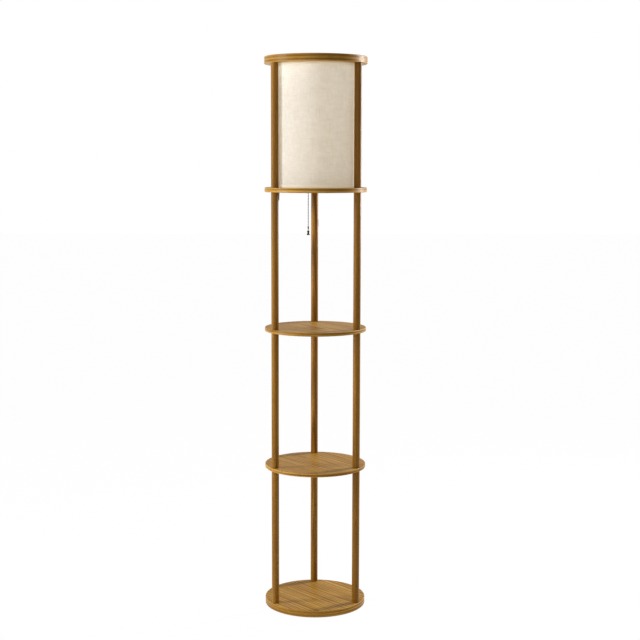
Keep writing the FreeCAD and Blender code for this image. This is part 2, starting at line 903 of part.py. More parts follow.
def socket_core():
    """The insulating core, with a slot for the switch rotor and bores for its axle."""
    body = new_body("socket_core", z=core_floor)
    foot_radius = dim("cap_neck_radius")
    foot_height = dim("cap_height") + cap_bottom - core_floor
    revolve(
        body,
        [
            (0.0, 0.0),
            (foot_radius, 0.0),
            (foot_radius, foot_height),
            (core_radius, foot_height),
            (core_radius, dim("core_length")),
            (0.0, dim("core_length")),
        ],
    )
    gap = dim("rotor_gap")
    reach = dim("rotor_radius") + gap
    slot = new_sketch(body, "XZ_Plane")
    rectangle_in(
        slot,
        -dim("rotor_offset") - reach,
        -dim("rotor_offset") + reach,
        0.0,
        guide_level - core_floor + reach,
    )
    pocket(body, slot, dim("rotor_thickness") + 2 * gap, midplane=True)
    bores = new_sketch(body, "XZ_Plane")
    bore_radius = dim("axle_radius") + dim("running_gap")
    circle_in(bores, bore_radius, x=-dim("rotor_offset"), y=guide_level - core_floor)
    pocket(body, bores, dim("axle_length") + 2 * gap, midplane=True)
    side_hole(
        body,
        arm_hole_radius,
        guide_level - core_floor,
        dim("rotor_offset") + dim("rotor_radius"),
        core_radius,
    )


socket_core()

thread_shell = new_body("thread_shell", z=core_top)
thread_wall = dim("thread_shell_wall")
thread_outer = core_radius - dim("thread_shell_inset")
revolve(
    thread_shell,
    [
        (dim("thread_shell_hole_radius"), 0.0),
        (thread_outer, 0.0),
        (thread_outer, dim("thread_shell_length")),
        (thread_outer - thread_wall, dim("thread_shell_length")),
        (thread_outer - thread_wall, thread_wall),
        (dim("thread_shell_hole_radius"), thread_wall),
    ],
)

contact_body = new_body("centre_contact", z=core_top)
revolve(
    contact_body,
    [
        (0.0, 0.0),
        (dim("contact_radius"), 0.0),
        (dim("contact_radius"), dim("contact_rim_height")),
        (dim("contact_crown_radius"), dim("contact_height")),
        (0.0, dim("contact_height")),
    ],
)

# ---------------------------------------------------------------- pull switch


def chain_guide():
    """The bell-mouthed guide that turns the chain down, with its arm into the core."""
    drop = guide_drop
    wall = dim("guide_radius") - dim("guide_bore_radius")
    body = new_body("chain_guide", x=-chain_offset, z=guide_level - drop)
    top = drop + dim("guide_rise")
    flare = dim("guide_flare_height")
    revolve(
        body,
        [
            (0.0, top - wall),
            (dim("guide_bore_radius"), top - wall),
            (dim("guide_bore_radius"), flare),
            (dim("guide_mouth_radius") - 0.5 * wall, 0.0),
            (dim("guide_mouth_radius"), 0.0),
            (dim("guide_radius"), flare),
            (dim("guide_radius"), top - dim("guide_radius")),
            (0.0, top, dim("guide_radius")),
        ],
    )
    root = dim("guide_bore_radius") + 0.5 * wall
    tip = chain_offset - dim("rotor_offset") - dim("rotor_radius") - dim("guide_arm_gap")
    arm = new_sketch(body, "YZ_Plane", z=root)
    circle_in(arm, dim("guide_arm_radius"), y=drop)
    pad(body, arm, tip - root)


chain_guide()


def switch_rotor():
    """The notched drum that the chain turns, on its axle."""
    thickness = dim("rotor_thickness")
    body = new_body("switch_rotor", x=-dim("rotor_offset"), z=guide_level)
    disc = new_sketch(body, "XZ_Plane")
    circle_in(disc, dim("rotor_radius"))
    pad(body, disc, thickness, midplane=True)
    bore = new_sketch(body, "XZ_Plane")
    circle_in(bore, dim("axle_radius") + dim("press_gap"))
    pocket(body, bore, thickness, midplane=True)
    notch = new_sketch(body, "XZ_Plane")
    circle_in(notch, dim("rotor_notch_radius"), y=dim("rotor_radius"))
    cut = pocket(body, notch, thickness, midplane=True)
    around(body, [cut], count=ROTOR_NOTCH_COUNT, role="Y_Axis")


switch_rotor()
axle_body = new_body("switch_axle", x=-dim("rotor_offset"), z=guide_level)
axle_sketch = new_sketch(axle_body, "XZ_Plane")
circle_in(axle_sketch, dim("axle_radius"))
pad(axle_body, axle_sketch, dim("axle_length"), midplane=True)

# ---------------------------------------------------------------- pull chain

chain_x = -chain_offset
pivot_height = floor_underside - dim("chain_pivot_drop")
link_clearance = dim("chain_bead_radius") + dim("chain_joint_gap")
upper_chain_bottom = pivot_height + link_clearance
bead_limit = dim("guide_rise") - dim("guide_radius") + dim("guide_bore_radius")
upper_chain_top = guide_level + bead_limit - link_clearance
lower_chain_top = pivot_height - link_clearance
knob_top = floor_underside - dim("chain_hang")
knob_bottom = knob_top - dim("knob_height")
stop_bead_height = knob_bottom + dim("knob_cavity_depth") - dim("chain_bead_radius") - dim("press_gap")


def bead_chain(label, bottom, top, bead_heights):
    """Beads on a wire that runs from bottom to top."""
    wire = doc.addObject("Part::Cylinder", f"{label}_wire")
    bind(wire, "Radius", dim("chain_wire_radius"))
    bind(wire, "Height", top - bottom)
    put(wire, x=chain_x, z=bottom)
    pieces = [wire]
    for height in bead_heights:
        bead = doc.addObject("Part::Sphere", f"{label}_bead")
        bind(bead, "Radius", dim("chain_bead_radius"))
        put(bead, x=chain_x, z=height)
        pieces.append(bead)
    strand = doc.addObject("Part::MultiFuse", label)
    strand.Shapes = pieces
    keep(strand, label)


def beads_from_pivot(direction, room):
    """Heights of the beads that follow the pivot bead, up or down, as far as there is room."""
    count = int(room.value / dim("chain_pitch").value)
    return [pivot_height + dim("chain_pitch") * (direction * step) for step in range(1, count + 1)]


beads_above = beads_from_pivot(1, upper_chain_top - pivot_height)
beads_below = beads_from_pivot(-1, pivot_height - knob_top - link_clearance)
bead_chain("chain_upper", upper_chain_bottom, upper_chain_top, beads_above)
bead_chain("chain_lower", stop_bead_height, lower_chain_top, [stop_bead_height] + beads_below)

pivot_bead = doc.addObject("Part::Sphere", "chain_pivot_bead")
bind(pivot_bead, "Radius", dim("chain_bead_radius"))
put(pivot_bead, x=chain_x, z=pivot_height)
keep(pivot_bead, "chain_pivot_bead")

coupling_body = new_body("chain_coupling", x=chain_x, z=knob_top + dim("coupling_above_knob"))
coupling_inner = dim("coupling_radius") - dim("coupling_wall")
revolve(coupling_body, tube_section(coupling_inner, dim("coupling_radius"), dim("coupling_length")))


def chain_knob():
    """The bell-shaped knob: a round head, a waist and a flared skirt, hollow for the last bead."""
    body = new_body("chain_knob", x=chain_x, z=knob_bottom)
    height = dim("knob_height")
    head = dim("knob_head_radius")
    skirt = dim("knob_radius")
    wire_hole = dim("chain_wire_radius") + dim("press_gap")
    cavity = dim("knob_cavity_radius")
    roof = dim("knob_cavity_depth")
    revolve(
        body,
        [
            (cavity, 0.0),
            (skirt - dim("knob_lip_width"), 0.0),
            (skirt, dim("knob_lip_height"), dim("knob_lip_round")),
            (skirt, dim("knob_skirt_height")),
            (dim("knob_waist_radius"), dim("knob_waist_height"), -dim("knob_flare_radius")),
            (head, dim("knob_head_bottom")),
            (head, dim("knob_head_top")),
            (dim("knob_crown_radius"), height, dim("knob_crown_round")),
            (wire_hole, height),
            (wire_hole, roof),
            (cavity, roof),
        ],
    )


chain_knob()


def chain_eyelet():
    """The rolled eyelet that lines the chain's hole in the shade floor."""
    body = new_body("chain_eyelet", x=chain_x, z=floor_underside)
    bore = dim("eyelet_bore_radius")
    barrel = bore + dim("eyelet_wall")
    flange = barrel + dim("eyelet_flange")
    sheet = dim("eyelet_sheet")
    floor_height = dim("shade_floor_thickness")
    revolve(
        body,
        [
            (bore, -sheet),
            (flange, -sheet),
            (flange, 0.0),
            (barrel, 0.0),
            (barrel, floor_height),
            (flange, floor_height),
            (flange, floor_height + sheet),
            (bore, floor_height + sheet),
        ],
    )


chain_eyelet()

# ---------------------------------------------------------------- bulb

tip_bottom = core_top + dim("contact_height") + dim("bulb_seat_gap")
insulator_bottom = tip_bottom + dim("bulb_tip_height")
bulb_cap_bottom = insulator_bottom + dim("bulb_insulator_height")
bulb_cap_top = bulb_cap_bottom + dim("bulb_cap_length")
cap_outer = thread_outer - thread_wall - dim("bulb_cap_play")
cap_wall = dim("bulb_cap_wall")
cap_shoulder = dim("bulb_cap_shoulder")

tip_body = new_body("bulb_tip", z=tip_bottom)
revolve(
    tip_body,
    [
        (0.0, 0.0),
        (dim("bulb_tip_face_radius"), 0.0),
        (dim("bulb_tip_radius"), dim("bulb_tip_edge_height")),
        (dim("bulb_tip_radius"), dim("bulb_tip_height")),
        (0.0, dim("bulb_tip_height")),
    ],
)

insulator_body = new_body("bulb_insulator", z=insulator_bottom + dim("chain_joint_gap"))
insulator_height = dim("bulb_insulator_height") - dim("chain_joint_gap")
revolve(
    insulator_body,
    [
        (0.0, 0.0),
        (dim("bulb_insulator_foot_radius"), 0.0),
        (cap_outer - cap_shoulder, insulator_height),
        (0.0, insulator_height),
    ],
)

bulb_cap_body = new_body("bulb_cap", z=bulb_cap_bottom)
revolve(
    bulb_cap_body,
    [
        (0.0, 0.0),
        (cap_outer - cap_shoulder, 0.0),
        (cap_outer, cap_shoulder),
        (cap_outer, dim("bulb_cap_length")),
        (cap_outer - cap_wall, dim("bulb_cap_length")),
        (cap_outer - cap_wall, cap_shoulder + cap_wall),
        (cap_outer - cap_shoulder, cap_wall),
        (0.0, cap_wall),
    ],
)


def bulb_envelope():
    """The pear-shaped glass: a ball, a hollow shoulder and a neck that stands on the cap."""
    body = new_body("bulb_envelope", z=bulb_cap_top)
    glass = dim("bulb_glass")
    ball = dim("bulb_radius")
    neck = cap_outer + dim("bulb_neck_overhang")
    rise = dim("bulb_centre_rise")
    shoulder = dim("bulb_shoulder_radius")
    join = math.radians(BULB_JOIN_ANGLE)
    neck_height = dim("bulb_neck_height")
    outer_join = (ball * math.cos(join), rise + ball * math.sin(join))
    inner_join = ((ball - glass) * math.cos(join), rise + (ball - glass) * math.sin(join))
    revolve(
        body,
        [
            (neck - glass, 0.0),
            (neck, 0.0),
            (neck, neck_height),
            (outer_join[0], outer_join[1], -shoulder),
            (ball, rise, ball),
            (0.0, rise + ball, ball),
            (0.0, rise + ball - glass),
            (ball - glass, rise, -(ball - glass)),
            (inner_join[0], inner_join[1], -(ball - glass)),
            (neck - glass, neck_height, shoulder + glass),
        ],
    )


bulb_envelope()

# ---------------------------------------------------------------- cord outlet and cord clip


def cord_bushing():
    """The outlet bushing in the shade floor: a flange inside the shade and a tapered spout below."""
    body = new_body("cord_bushing", x=-bushing_offset, z=floor_underside - dim("bushing_drop"))
    bore = dim("bushing_bore_radius")
    drop = dim("bushing_drop")
    flange_bottom = drop + dim("shade_floor_thickness")
    flange_top = flange_bottom + dim("bushing_flange_thickness")
    revolve(
        body,
        [
            (bore, 0.0),
            (dim("bushing_tip_radius"), 0.0),
            (dim("bushing_radius"), drop - dim("bushing_collar_height")),
            (dim("bushing_radius"), drop),
            (bushing_barrel_radius, drop),
            (bushing_barrel_radius, flange_bottom),
            (dim("bushing_flange_radius"), flange_bottom),
            (dim("bushing_flange_radius"), flange_top),
            (bore, flange_top),
        ],
    )


def cord_clip():
    """A small guide on the back pole: a spindle-shaped sleeve on a web that fits the pole."""
    x, y = pole_place(POLE_NAMES.index("back"))
    length = dim("cord_clip_length")
    stand_off = dim("pole_radius") + dim("cord_clip_radius")
    middle = floor_underside - dim("cord_clip_drop")
    barrel = dim("cord_clip_barrel_radius")
    body = new_body("cord_clip", x=x, y=y, z=middle - length * 0.5, turn=CORD_CLIP_ANGLE)
    revolve(
        body,
        [
            (0.0, 0.0),
            (dim("cord_clip_end_radius"), 0.0),
            (dim("cord_clip_radius"), length * 0.5, barrel),
            (dim("cord_clip_end_radius"), length, barrel),
            (0.0, length),
        ],
        x=stand_off,
    )
    web = new_sketch(body, "XY_Plane")
    half_web = dim("cord_clip_web") * 0.5
    rectangle_in(web, dim("pole_radius") - half_web, stand_off, -half_web, half_web)
    pad(body, web, length)
    bore = new_sketch(body, "XY_Plane", z=length)
    circle_in(bore, dim("cord_clip_bore_radius"), x=stand_off)
    pocket(body, bore, length)
    seat = new_sketch(body, "XY_Plane", z=length)
    circle_in(seat, dim("pole_radius") + dim("press_gap"))
    pocket(body, seat, length)


cord_bushing()
cord_clip()

# ---------------------------------------------------------------- checks and export

doc.recompute()

for item in doc.Objects:
    broken = {"Invalid", "Error"} & set(item.State)
    if broken:
        raise RuntimeError(f"{item.Label} is {sorted(broken)}")

if len(subparts) > MAX_FILES:
    raise RuntimeError(f"{len(subparts)} sub-parts are too many")

os.makedirs("parts", exist_ok=True)
for subpart in subparts:
    shape = subpart.Shape
    if shape.isNull() or not shape.isValid() or not shape.Solids:
        raise RuntimeError(f"{subpart.Label} has no valid solid")
    shape.exportStep(f"parts/{subpart.Label}.step")
    print(f"{subpart.Label}: {len(shape.Solids)} solid(s), {shape.Volume:.0f} mm3")
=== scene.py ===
"""Dresses the shelf floor lamp: oak boards and poles, a linen drum shade, and a bulb on a pull switch.

Everything is in metres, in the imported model's own frame: +Z up, the camera on the -Y side.
"""

import logging
import math
from collections.abc import Callable, Iterable, Iterator, Sequence
from contextlib import contextmanager
from dataclasses import dataclass, field
from enum import Enum

import bpy
from mathutils import Matrix, Vector


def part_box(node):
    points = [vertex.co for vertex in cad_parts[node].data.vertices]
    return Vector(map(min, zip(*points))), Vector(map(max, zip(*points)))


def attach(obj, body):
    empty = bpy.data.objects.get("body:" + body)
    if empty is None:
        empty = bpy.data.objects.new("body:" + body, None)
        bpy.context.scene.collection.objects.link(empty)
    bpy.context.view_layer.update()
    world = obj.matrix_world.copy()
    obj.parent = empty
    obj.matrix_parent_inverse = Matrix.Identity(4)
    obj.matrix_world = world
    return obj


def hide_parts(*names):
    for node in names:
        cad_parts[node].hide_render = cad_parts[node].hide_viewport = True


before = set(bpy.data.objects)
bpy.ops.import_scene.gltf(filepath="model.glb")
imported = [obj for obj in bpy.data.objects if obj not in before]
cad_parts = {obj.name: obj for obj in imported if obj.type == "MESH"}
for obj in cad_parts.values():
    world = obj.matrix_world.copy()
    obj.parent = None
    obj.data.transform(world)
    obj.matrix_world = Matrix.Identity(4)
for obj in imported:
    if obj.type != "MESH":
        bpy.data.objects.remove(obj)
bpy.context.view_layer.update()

LOG = logging.getLogger("shelf_lamp")

MM = 0.001
FULL_TURN = 2 * math.pi
QUARTER_LIFT = 1 - math.cos(math.radians(45))
SPECK = 0.002 * MM
ARM_DROP = 5.0 * MM
LEVELS = ("lower", "middle", "upper", "shade")
CORNERS = ("front_left", "front_right", "back")

Point = tuple[float, float]
Place = tuple[float, float, float]
Colour = tuple[float, float, float]


class Body(Enum):
    """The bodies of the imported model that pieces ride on."""

    LAMP = "lamp"
    CHAIN_RUN = "chain_run"
    CHAIN_LINK = "chain_link"
    CHAIN_TAIL = "chain_tail"
    BULB_FOOT = "bulb_foot"
    BULB = "bulb"


class Grain(Enum):
    """How the wood's grain runs on a piece."""

    ACROSS_THE_BOARD = "across the board"
    UP_THE_POLE = "up the pole"
    ROUND_THE_RIM = "round the rim"


# ---------------------------------------------------------------- the bench: modelling helpers


def deselect() -> None:
    """Leave nothing selected, the CAD nodes included."""
    if bpy.context.object is not None and bpy.context.object.mode != "OBJECT":
        bpy.ops.object.mode_set(mode="OBJECT")
    bpy.ops.object.select_all(action="DESELECT")


def choose(piece: bpy.types.Object) -> None:
    """Select one piece alone and make it the active one.

    Args:
        piece: the piece.
    """
    deselect()
    piece.select_set(True)
    bpy.context.view_layer.objects.active = piece


def named(name: str) -> bpy.types.Object:
    """Name the piece that an operator has just added.

    Args:
        name: the piece's name.

    Returns:
        The piece.
    """
    piece = bpy.context.object
    piece.name = name
    piece.data.name = name
    return piece


@contextmanager
def editing(piece: bpy.types.Object) -> Iterator[bpy.types.Object]:
    """Hold a piece in edit mode, with all of it selected at first.

    Args:
        piece: the piece to edit.

    Yields:
        The piece.
    """
    choose(piece)
    bpy.ops.object.mode_set(mode="EDIT")
    bpy.ops.mesh.select_mode(type="VERT")
    bpy.ops.mesh.select_all(action="SELECT")
    try:
        yield piece
    finally:
        bpy.ops.object.mode_set(mode="OBJECT")
        deselect()


def modify(piece: bpy.types.Object, kind: str, **settings: object) -> None:
    """Add one modifier to a piece and apply it.

    Args:
        piece: the piece.
        kind: the modifier's type.
        **settings: its properties.
    """
    choose(piece)
    modifier = piece.modifiers.new(kind.lower(), kind)
    for name, value in settings.items():
        setattr(modifier, name, value)
    bpy.ops.object.modifier_apply(modifier=modifier.name)


def ease(piece: bpy.types.Object, width: float, segments: int = 2, angle: float = 40.0) -> None:
    """Round a piece's sharp edges over.

    Args:
        piece: the piece.
        width: how wide the rounding is.
        segments: how many faces make it.
        angle: the least angle between faces, in degrees, that counts as sharp.
    """
    limit = math.radians(angle)
    modify(piece, "BEVEL", width=width, segments=segments, limit_method="ANGLE", angle_limit=limit)


def settle(piece: bpy.types.Object, angle: float = 35.0) -> bpy.types.Object:
    """Put a piece's place into its mesh and shade it smooth up to an angle.

    Args:
        piece: the piece.
        angle: the angle between faces, in degrees, that stays an edge.

    Returns:
        The piece.
    """
    choose(piece)
    bpy.ops.object.transform_apply(location=True, rotation=True, scale=True)
    bpy.ops.object.shade_smooth_by_angle(angle=math.radians(angle))
    deselect()
    return piece


def cut(piece: bpy.types.Object, cutter: bpy.types.Object) -> None:
    """Cut one piece's shape out of another, and throw the cutter away.

    Args:
        piece: the piece that is cut.
        cutter: what is taken out of it.
    """
    modify(piece, "BOOLEAN", object=cutter, operation="DIFFERENCE", solver="EXACT")
    bpy.data.objects.remove(cutter)


def rod(
    name: str,
    sides: int,
    radius: float,
    length: float,
    middle: Place,
    level: bool = False,
) -> bpy.types.Object:
    """Add a round or many-sided rod.

    Args:
        name: the rod's name.
        sides: how many faces go round.
        radius: its radius.
        length: its length.
        middle: where its middle is.
        level: whether it lies along x, not upright.

    Returns:
        The rod.
    """
    deselect()
    tilt = (0.0, math.pi / 2 if level else 0.0, 0.0)
    bpy.ops.mesh.primitive_cylinder_add(
        vertices=sides, radius=radius, depth=length, location=middle, rotation=tilt
    )
    return named(name)


def trace(name: str, start: Place, steps: Iterable[Point]) -> bpy.types.Object:
    """Draw a line in an upright plane, from corner to corner.

    Args:
        name: the line's name.
        start: where it starts.
        steps: how far each corner stands from the one before, out and up.

    Returns:
        The line.
    """
    deselect()
    bpy.ops.mesh.primitive_plane_add(size=MM, location=start)
    line = named(name)
    with editing(line):
        bpy.ops.mesh.merge(type="CENTER")
        for out, up in steps:
            bpy.ops.mesh.extrude_region_move(TRANSFORM_OT_translate={"value": (out, 0.0, up)})
    return line


def turn(
    name: str,
    profile: Sequence[Point],
    steps: int = 64,
    centre: Point = (0.0, 0.0),
    closed: bool = True,
) -> bpy.types.Object:
    """Turn a half section about an upright line, as on a lathe.

    Args:
        name: the piece's name.
        profile: the section's corners as (radius, height).
        steps: how many faces go round.
        centre: the line's x and y.
        closed: whether the last corner joins the first.

    Returns:
        The turned piece.
    """
    corners = [*profile, profile[0]] if closed else list(profile)
    moves = [(there[0] - here[0], there[1] - here[1]) for here, there in zip(corners, corners[1:])]
    start = (centre[0] + profile[0][0], centre[1], profile[0][1])
    piece = trace(name, start, moves)
    with editing(piece):
        bpy.ops.mesh.spin(steps=steps, angle=FULL_TURN, center=(*centre, 0.0), axis=(0, 0, 1))
        bpy.ops.mesh.select_all(action="SELECT")
        bpy.ops.mesh.remove_doubles(threshold=SPECK)
        bpy.ops.mesh.dissolve_degenerate(threshold=SPECK / 2)
        bpy.ops.mesh.select_all(action="SELECT")
        bpy.ops.mesh.normals_make_consistent(inside=False)
    return piece


def arc(start: Point, end: Point, bulge: float, count: int) -> list[Point]:
    """Points on an arc from one corner to another, both corners included.

    Args:
        start: the first corner.
        end: the last corner.
        bulge: how far the arc stands off the straight line, to the right of it if positive.
        count: how many points stand between the corners.

    Returns:
        The points.
    """
    line = Vector(end) - Vector(start)
    right = Vector((line.y, -line.x)).normalized()
    half = line.length / 2
    radius = (half * half + bulge * bulge) / (2 * abs(bulge))
    middle = Vector(start) + line / 2
    side = math.copysign(1.0, bulge)
    centre = middle + right * (bulge - side * radius)
    sweep = 2 * math.asin(min(1.0, half / radius))
    if abs(bulge) > half:
        sweep = FULL_TURN - sweep
    first = Vector(start) - centre
    points = [start]
    for index in range(1, count + 1):
        turned = Matrix.Rotation(side * sweep * index / (count + 1), 2) @ first
        points.append(tuple(centre + turned))
    return [*points, end]


def quarter(start: Point, end: Point, radius: float, count: int) -> list[Point]:
    """Points on a quarter round, both ends included.

    Args:
        start: where it starts.
        end: where it ends.
        radius: the rounding's radius.
        count: how many points stand between the ends.

    Returns:
        The points.
    """
    return arc(start, end, radius * QUARTER_LIFT, count)


def copy_of(
    piece: bpy.types.Object,
    name: str,
    shift: Sequence[float] = (0.0, 0.0, 0.0),
    turned: float = 0.0,
) -> bpy.types.Object:
    """Copy a settled piece with its own mesh, turned about the upright axis and then moved.

    Args:
        piece: the piece to copy.
        name: the copy's name.
        shift: how far the copy is moved.
        turned: how far it is turned first, in radians.

    Returns:
        The copy, settled.
    """
    twin = piece.copy()
    twin.data = piece.data.copy()
    twin.name = name
    twin.data.name = name
    bpy.context.scene.collection.objects.link(twin)
    twin.matrix_world = Matrix.Translation(Vector(shift)) @ Matrix.Rotation(turned, 4, "Z")
    choose(twin)
    bpy.ops.object.transform_apply(location=True, rotation=True, scale=True)
    deselect()
    return twin


def join(pieces: Sequence[bpy.types.Object], name: str) -> bpy.types.Object:
    """Join pieces into one.

    Args:
        pieces: the pieces, at least one.
        name: the joined piece's name.

    Returns:
        The joined piece.
    """
    deselect()
    for piece in pieces:
        piece.select_set(True)
    bpy.context.view_layer.objects.active = pieces[0]
    if len(pieces) > 1:
        bpy.ops.object.join()
    joined = named(name)
    deselect()
    return joined


def fit(
    piece: bpy.types.Object,
    body: Body,
    finish: bpy.types.Material,
    nodes: Iterable[str] = (),
) -> bpy.types.Object:
    """Give a piece its finish, its body and the nodes that it stands for.

    Args:
        piece: the finished piece.
        body: the body that it rides on.
        finish: its material.
        nodes: the CAD nodes that it replaces.

    Returns:
        The piece.
    """
    piece.data.materials.clear()
    piece.data.materials.append(finish)
    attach(piece, body.value)
    if nodes:
        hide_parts(*nodes)
    LOG.info("%s: %d faces, on %s", piece.name, len(piece.data.polygons), body.value)
    return piece


def dress(node: str, finish: bpy.types.Material) -> None:
    """Give a CAD node that stays a finish of its own.

    Args:
        node: the node's name.
        finish: its material.
    """
    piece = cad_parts[node]
    piece.data.materials.clear()
    piece.data.materials.append(finish)
    LOG.info("%s: keeps its shape", node)


@dataclass(frozen=True)
class Room:
    """The room that a CAD node takes in the frame."""

    low: Vector
    high: Vector

    @classmethod
    def of(cls, node: str) -> "Room":
        """Read a node's room from the frame."""
        low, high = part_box(node)
        return cls(Vector(low), Vector(high))

    @property
    def bottom(self) -> float:
        """The height of its underside."""
        return self.low.z

    @property
    def top(self) -> float:
        """The height of its upper side."""
        return self.high.z

    @property
    def height(self) -> float:
        """How tall it is."""
        return self.high.z - self.low.z

    @property
    def radius(self) -> float:
        """Half its width."""
        return (self.high.x - self.low.x) / 2

    @property
    def centre(self) -> Point:
        """Where its middle stands on the floor."""
        return ((self.low.x + self.high.x) / 2, (self.low.y + self.high.y) / 2)


# ---------------------------------------------------------------- finishes


def srgb(red: int, green: int, blue: int) -> Colour:
    """Turn a colour as it is seen on screen into linear light.

    Args:
        red: the red part, 0 to 255.
        green: the green part.
        blue: the blue part.

    Returns:
        The colour in linear light.
    """
    linear = []
    for part in (red, green, blue):
        share = part / 255
        linear.append(share / 12.92 if share <= 0.04045 else ((share + 0.055) / 1.055) ** 2.4)
    return tuple(linear)


class Recipe:
    """The node tree of one material, put together step by step."""

    def __init__(self, name: str) -> None:
        """Start an empty material with its output and object coordinates.

        Args:
            name: the material's name.
        """
        self.material = bpy.data.materials.new(name)
        self.material.use_nodes = True
        self.tree = self.material.node_tree
        self.tree.nodes.clear()
        self.output = self.tree.nodes.new("ShaderNodeOutputMaterial")
        self.place = self.tree.nodes.new("ShaderNodeTexCoord").outputs["Object"]

    def add(
        self,
        kind: str,
        inputs: dict[str | int, object] | None = None,
        **settings: object,
    ) -> bpy.types.Node:
        """Add a node.

        Args:
            kind: the node's type, without its ShaderNode prefix.
            inputs: sockets by name or number, each with a value or another node's socket.
            **settings: the node's own properties.

        Returns:
            The node.
        """
        node = self.tree.nodes.new("ShaderNode" + kind)
        for name, value in settings.items():
            setattr(node, name, value)
        for socket, value in (inputs or {}).items():
            if isinstance(value, bpy.types.NodeSocket):
                self.tree.links.new(value, node.inputs[socket])
            else:
                node.inputs[socket].default_value = value
        return node

    def reckon(self, operation: str, first: object, second: object = 0.0) -> bpy.types.NodeSocket:
        """Reckon with one or two numbers."""
        return self.add("Math", {0: first, 1: second}, operation=operation).outputs[0]

    def stretch(self, vector: object, factors: Sequence[float]) -> bpy.types.NodeSocket:
        """Scale a vector by three factors."""
        return self.add("VectorMath", {0: vector, 1: factors}, operation="MULTIPLY").outputs[0]

    def noise(
        self,
        vector: object,
        scale: float,
        detail: float = 2.0,
        roughness: float = 0.5,
    ) -> bpy.types.NodeSocket:
        """Sample a noise pattern."""
        inputs = {"Vector": vector, "Scale": scale, "Detail": detail, "Roughness": roughness}
        return self.add("TexNoise", inputs).outputs[0]

    def spread(self, value: object, source: Point, target: Point = (0.0, 1.0)) -> bpy.types.NodeSocket:
        """Map one range of numbers on another, and clamp it."""
        inputs = {0: value, 1: source[0], 2: source[1], 3: target[0], 4: target[1]}
        return self.add("MapRange", inputs, clamp=True).outputs[0]

    def blend(self, share: object, first: object, second: object) -> bpy.types.NodeSocket:
        """Mix two colours.

        Args:
            share: the second colour's share.
            first: a colour, or a socket that gives one.
            second: the other colour.

        Returns:
            The mixed colour.
        """
        node = self.add("Mix", data_type="RGBA")
        for socket, value in ((node.inputs[0], share), (node.inputs[6], first), (node.inputs[7], second)):
            if isinstance(value, bpy.types.NodeSocket):
                self.tree.links.new(value, socket)
            elif isinstance(value, tuple):
                socket.default_value = (*value, 1.0)
            else:
                socket.default_value = value
        return node.outputs[2]

    def ramp(self, value: object, stops: Sequence[tuple[float, Colour]]) -> bpy.types.NodeSocket:
        """Turn a number into a colour by a few stops.

        Args:
            value: the number.
            stops: the places of the colours from 0 to 1, each with its colour.

        Returns:
            The colour.
        """
        node = self.add("ValToRGB", {0: value})
        band = node.color_ramp
        while len(band.elements) < len(stops):
            band.elements.new(0.5)
        for element, (position, colour) in zip(band.elements, stops):
            element.position = position
            element.color = (*colour, 1.0)
        return node.outputs[0]

    def relief(self, height: object, depth: float, strength: float = 1.0) -> bpy.types.NodeSocket:
        """Make a surface relief from a height from 0 to 1."""
        inputs = {"Height": height, "Distance": depth, "Strength": strength}
        return self.add("Bump", inputs).outputs[0]

    def round_the_axis(self, radius: float) -> bpy.types.NodeSocket:
        """Unroll an upright cylinder, with the join at the back.

        Args:
            radius: the radius that the way round is measured at.

        Returns:
            The way round, the height and the distance from the axis.
        """
        parts = self.add("SeparateXYZ", {0: self.place}).outputs
        angle = self.reckon("ARCTAN2", parts[0], self.reckon("MULTIPLY", parts[1], -1.0))
        way = self.reckon("MULTIPLY", angle, radius)
        level = self.stretch(self.place, (1.0, 1.0, 0.0))
        away = self.add("VectorMath", {0: level}, operation="LENGTH").outputs["Value"]
        return self.add("CombineXYZ", {0: way, 1: parts[2], 2: away}).outputs[0]

    def show(self, shader: bpy.types.Node) -> bpy.types.Material:
        """Put a shader on the surface, which finishes the material."""
        self.tree.links.new(shader.outputs[0], self.output.inputs["Surface"])
        return self.material

    def surface(self, inputs: dict[str, object]) -> bpy.types.Material:
        """Finish the material with the main shader."""
        return self.show(self.add("BsdfPrincipled", inputs))


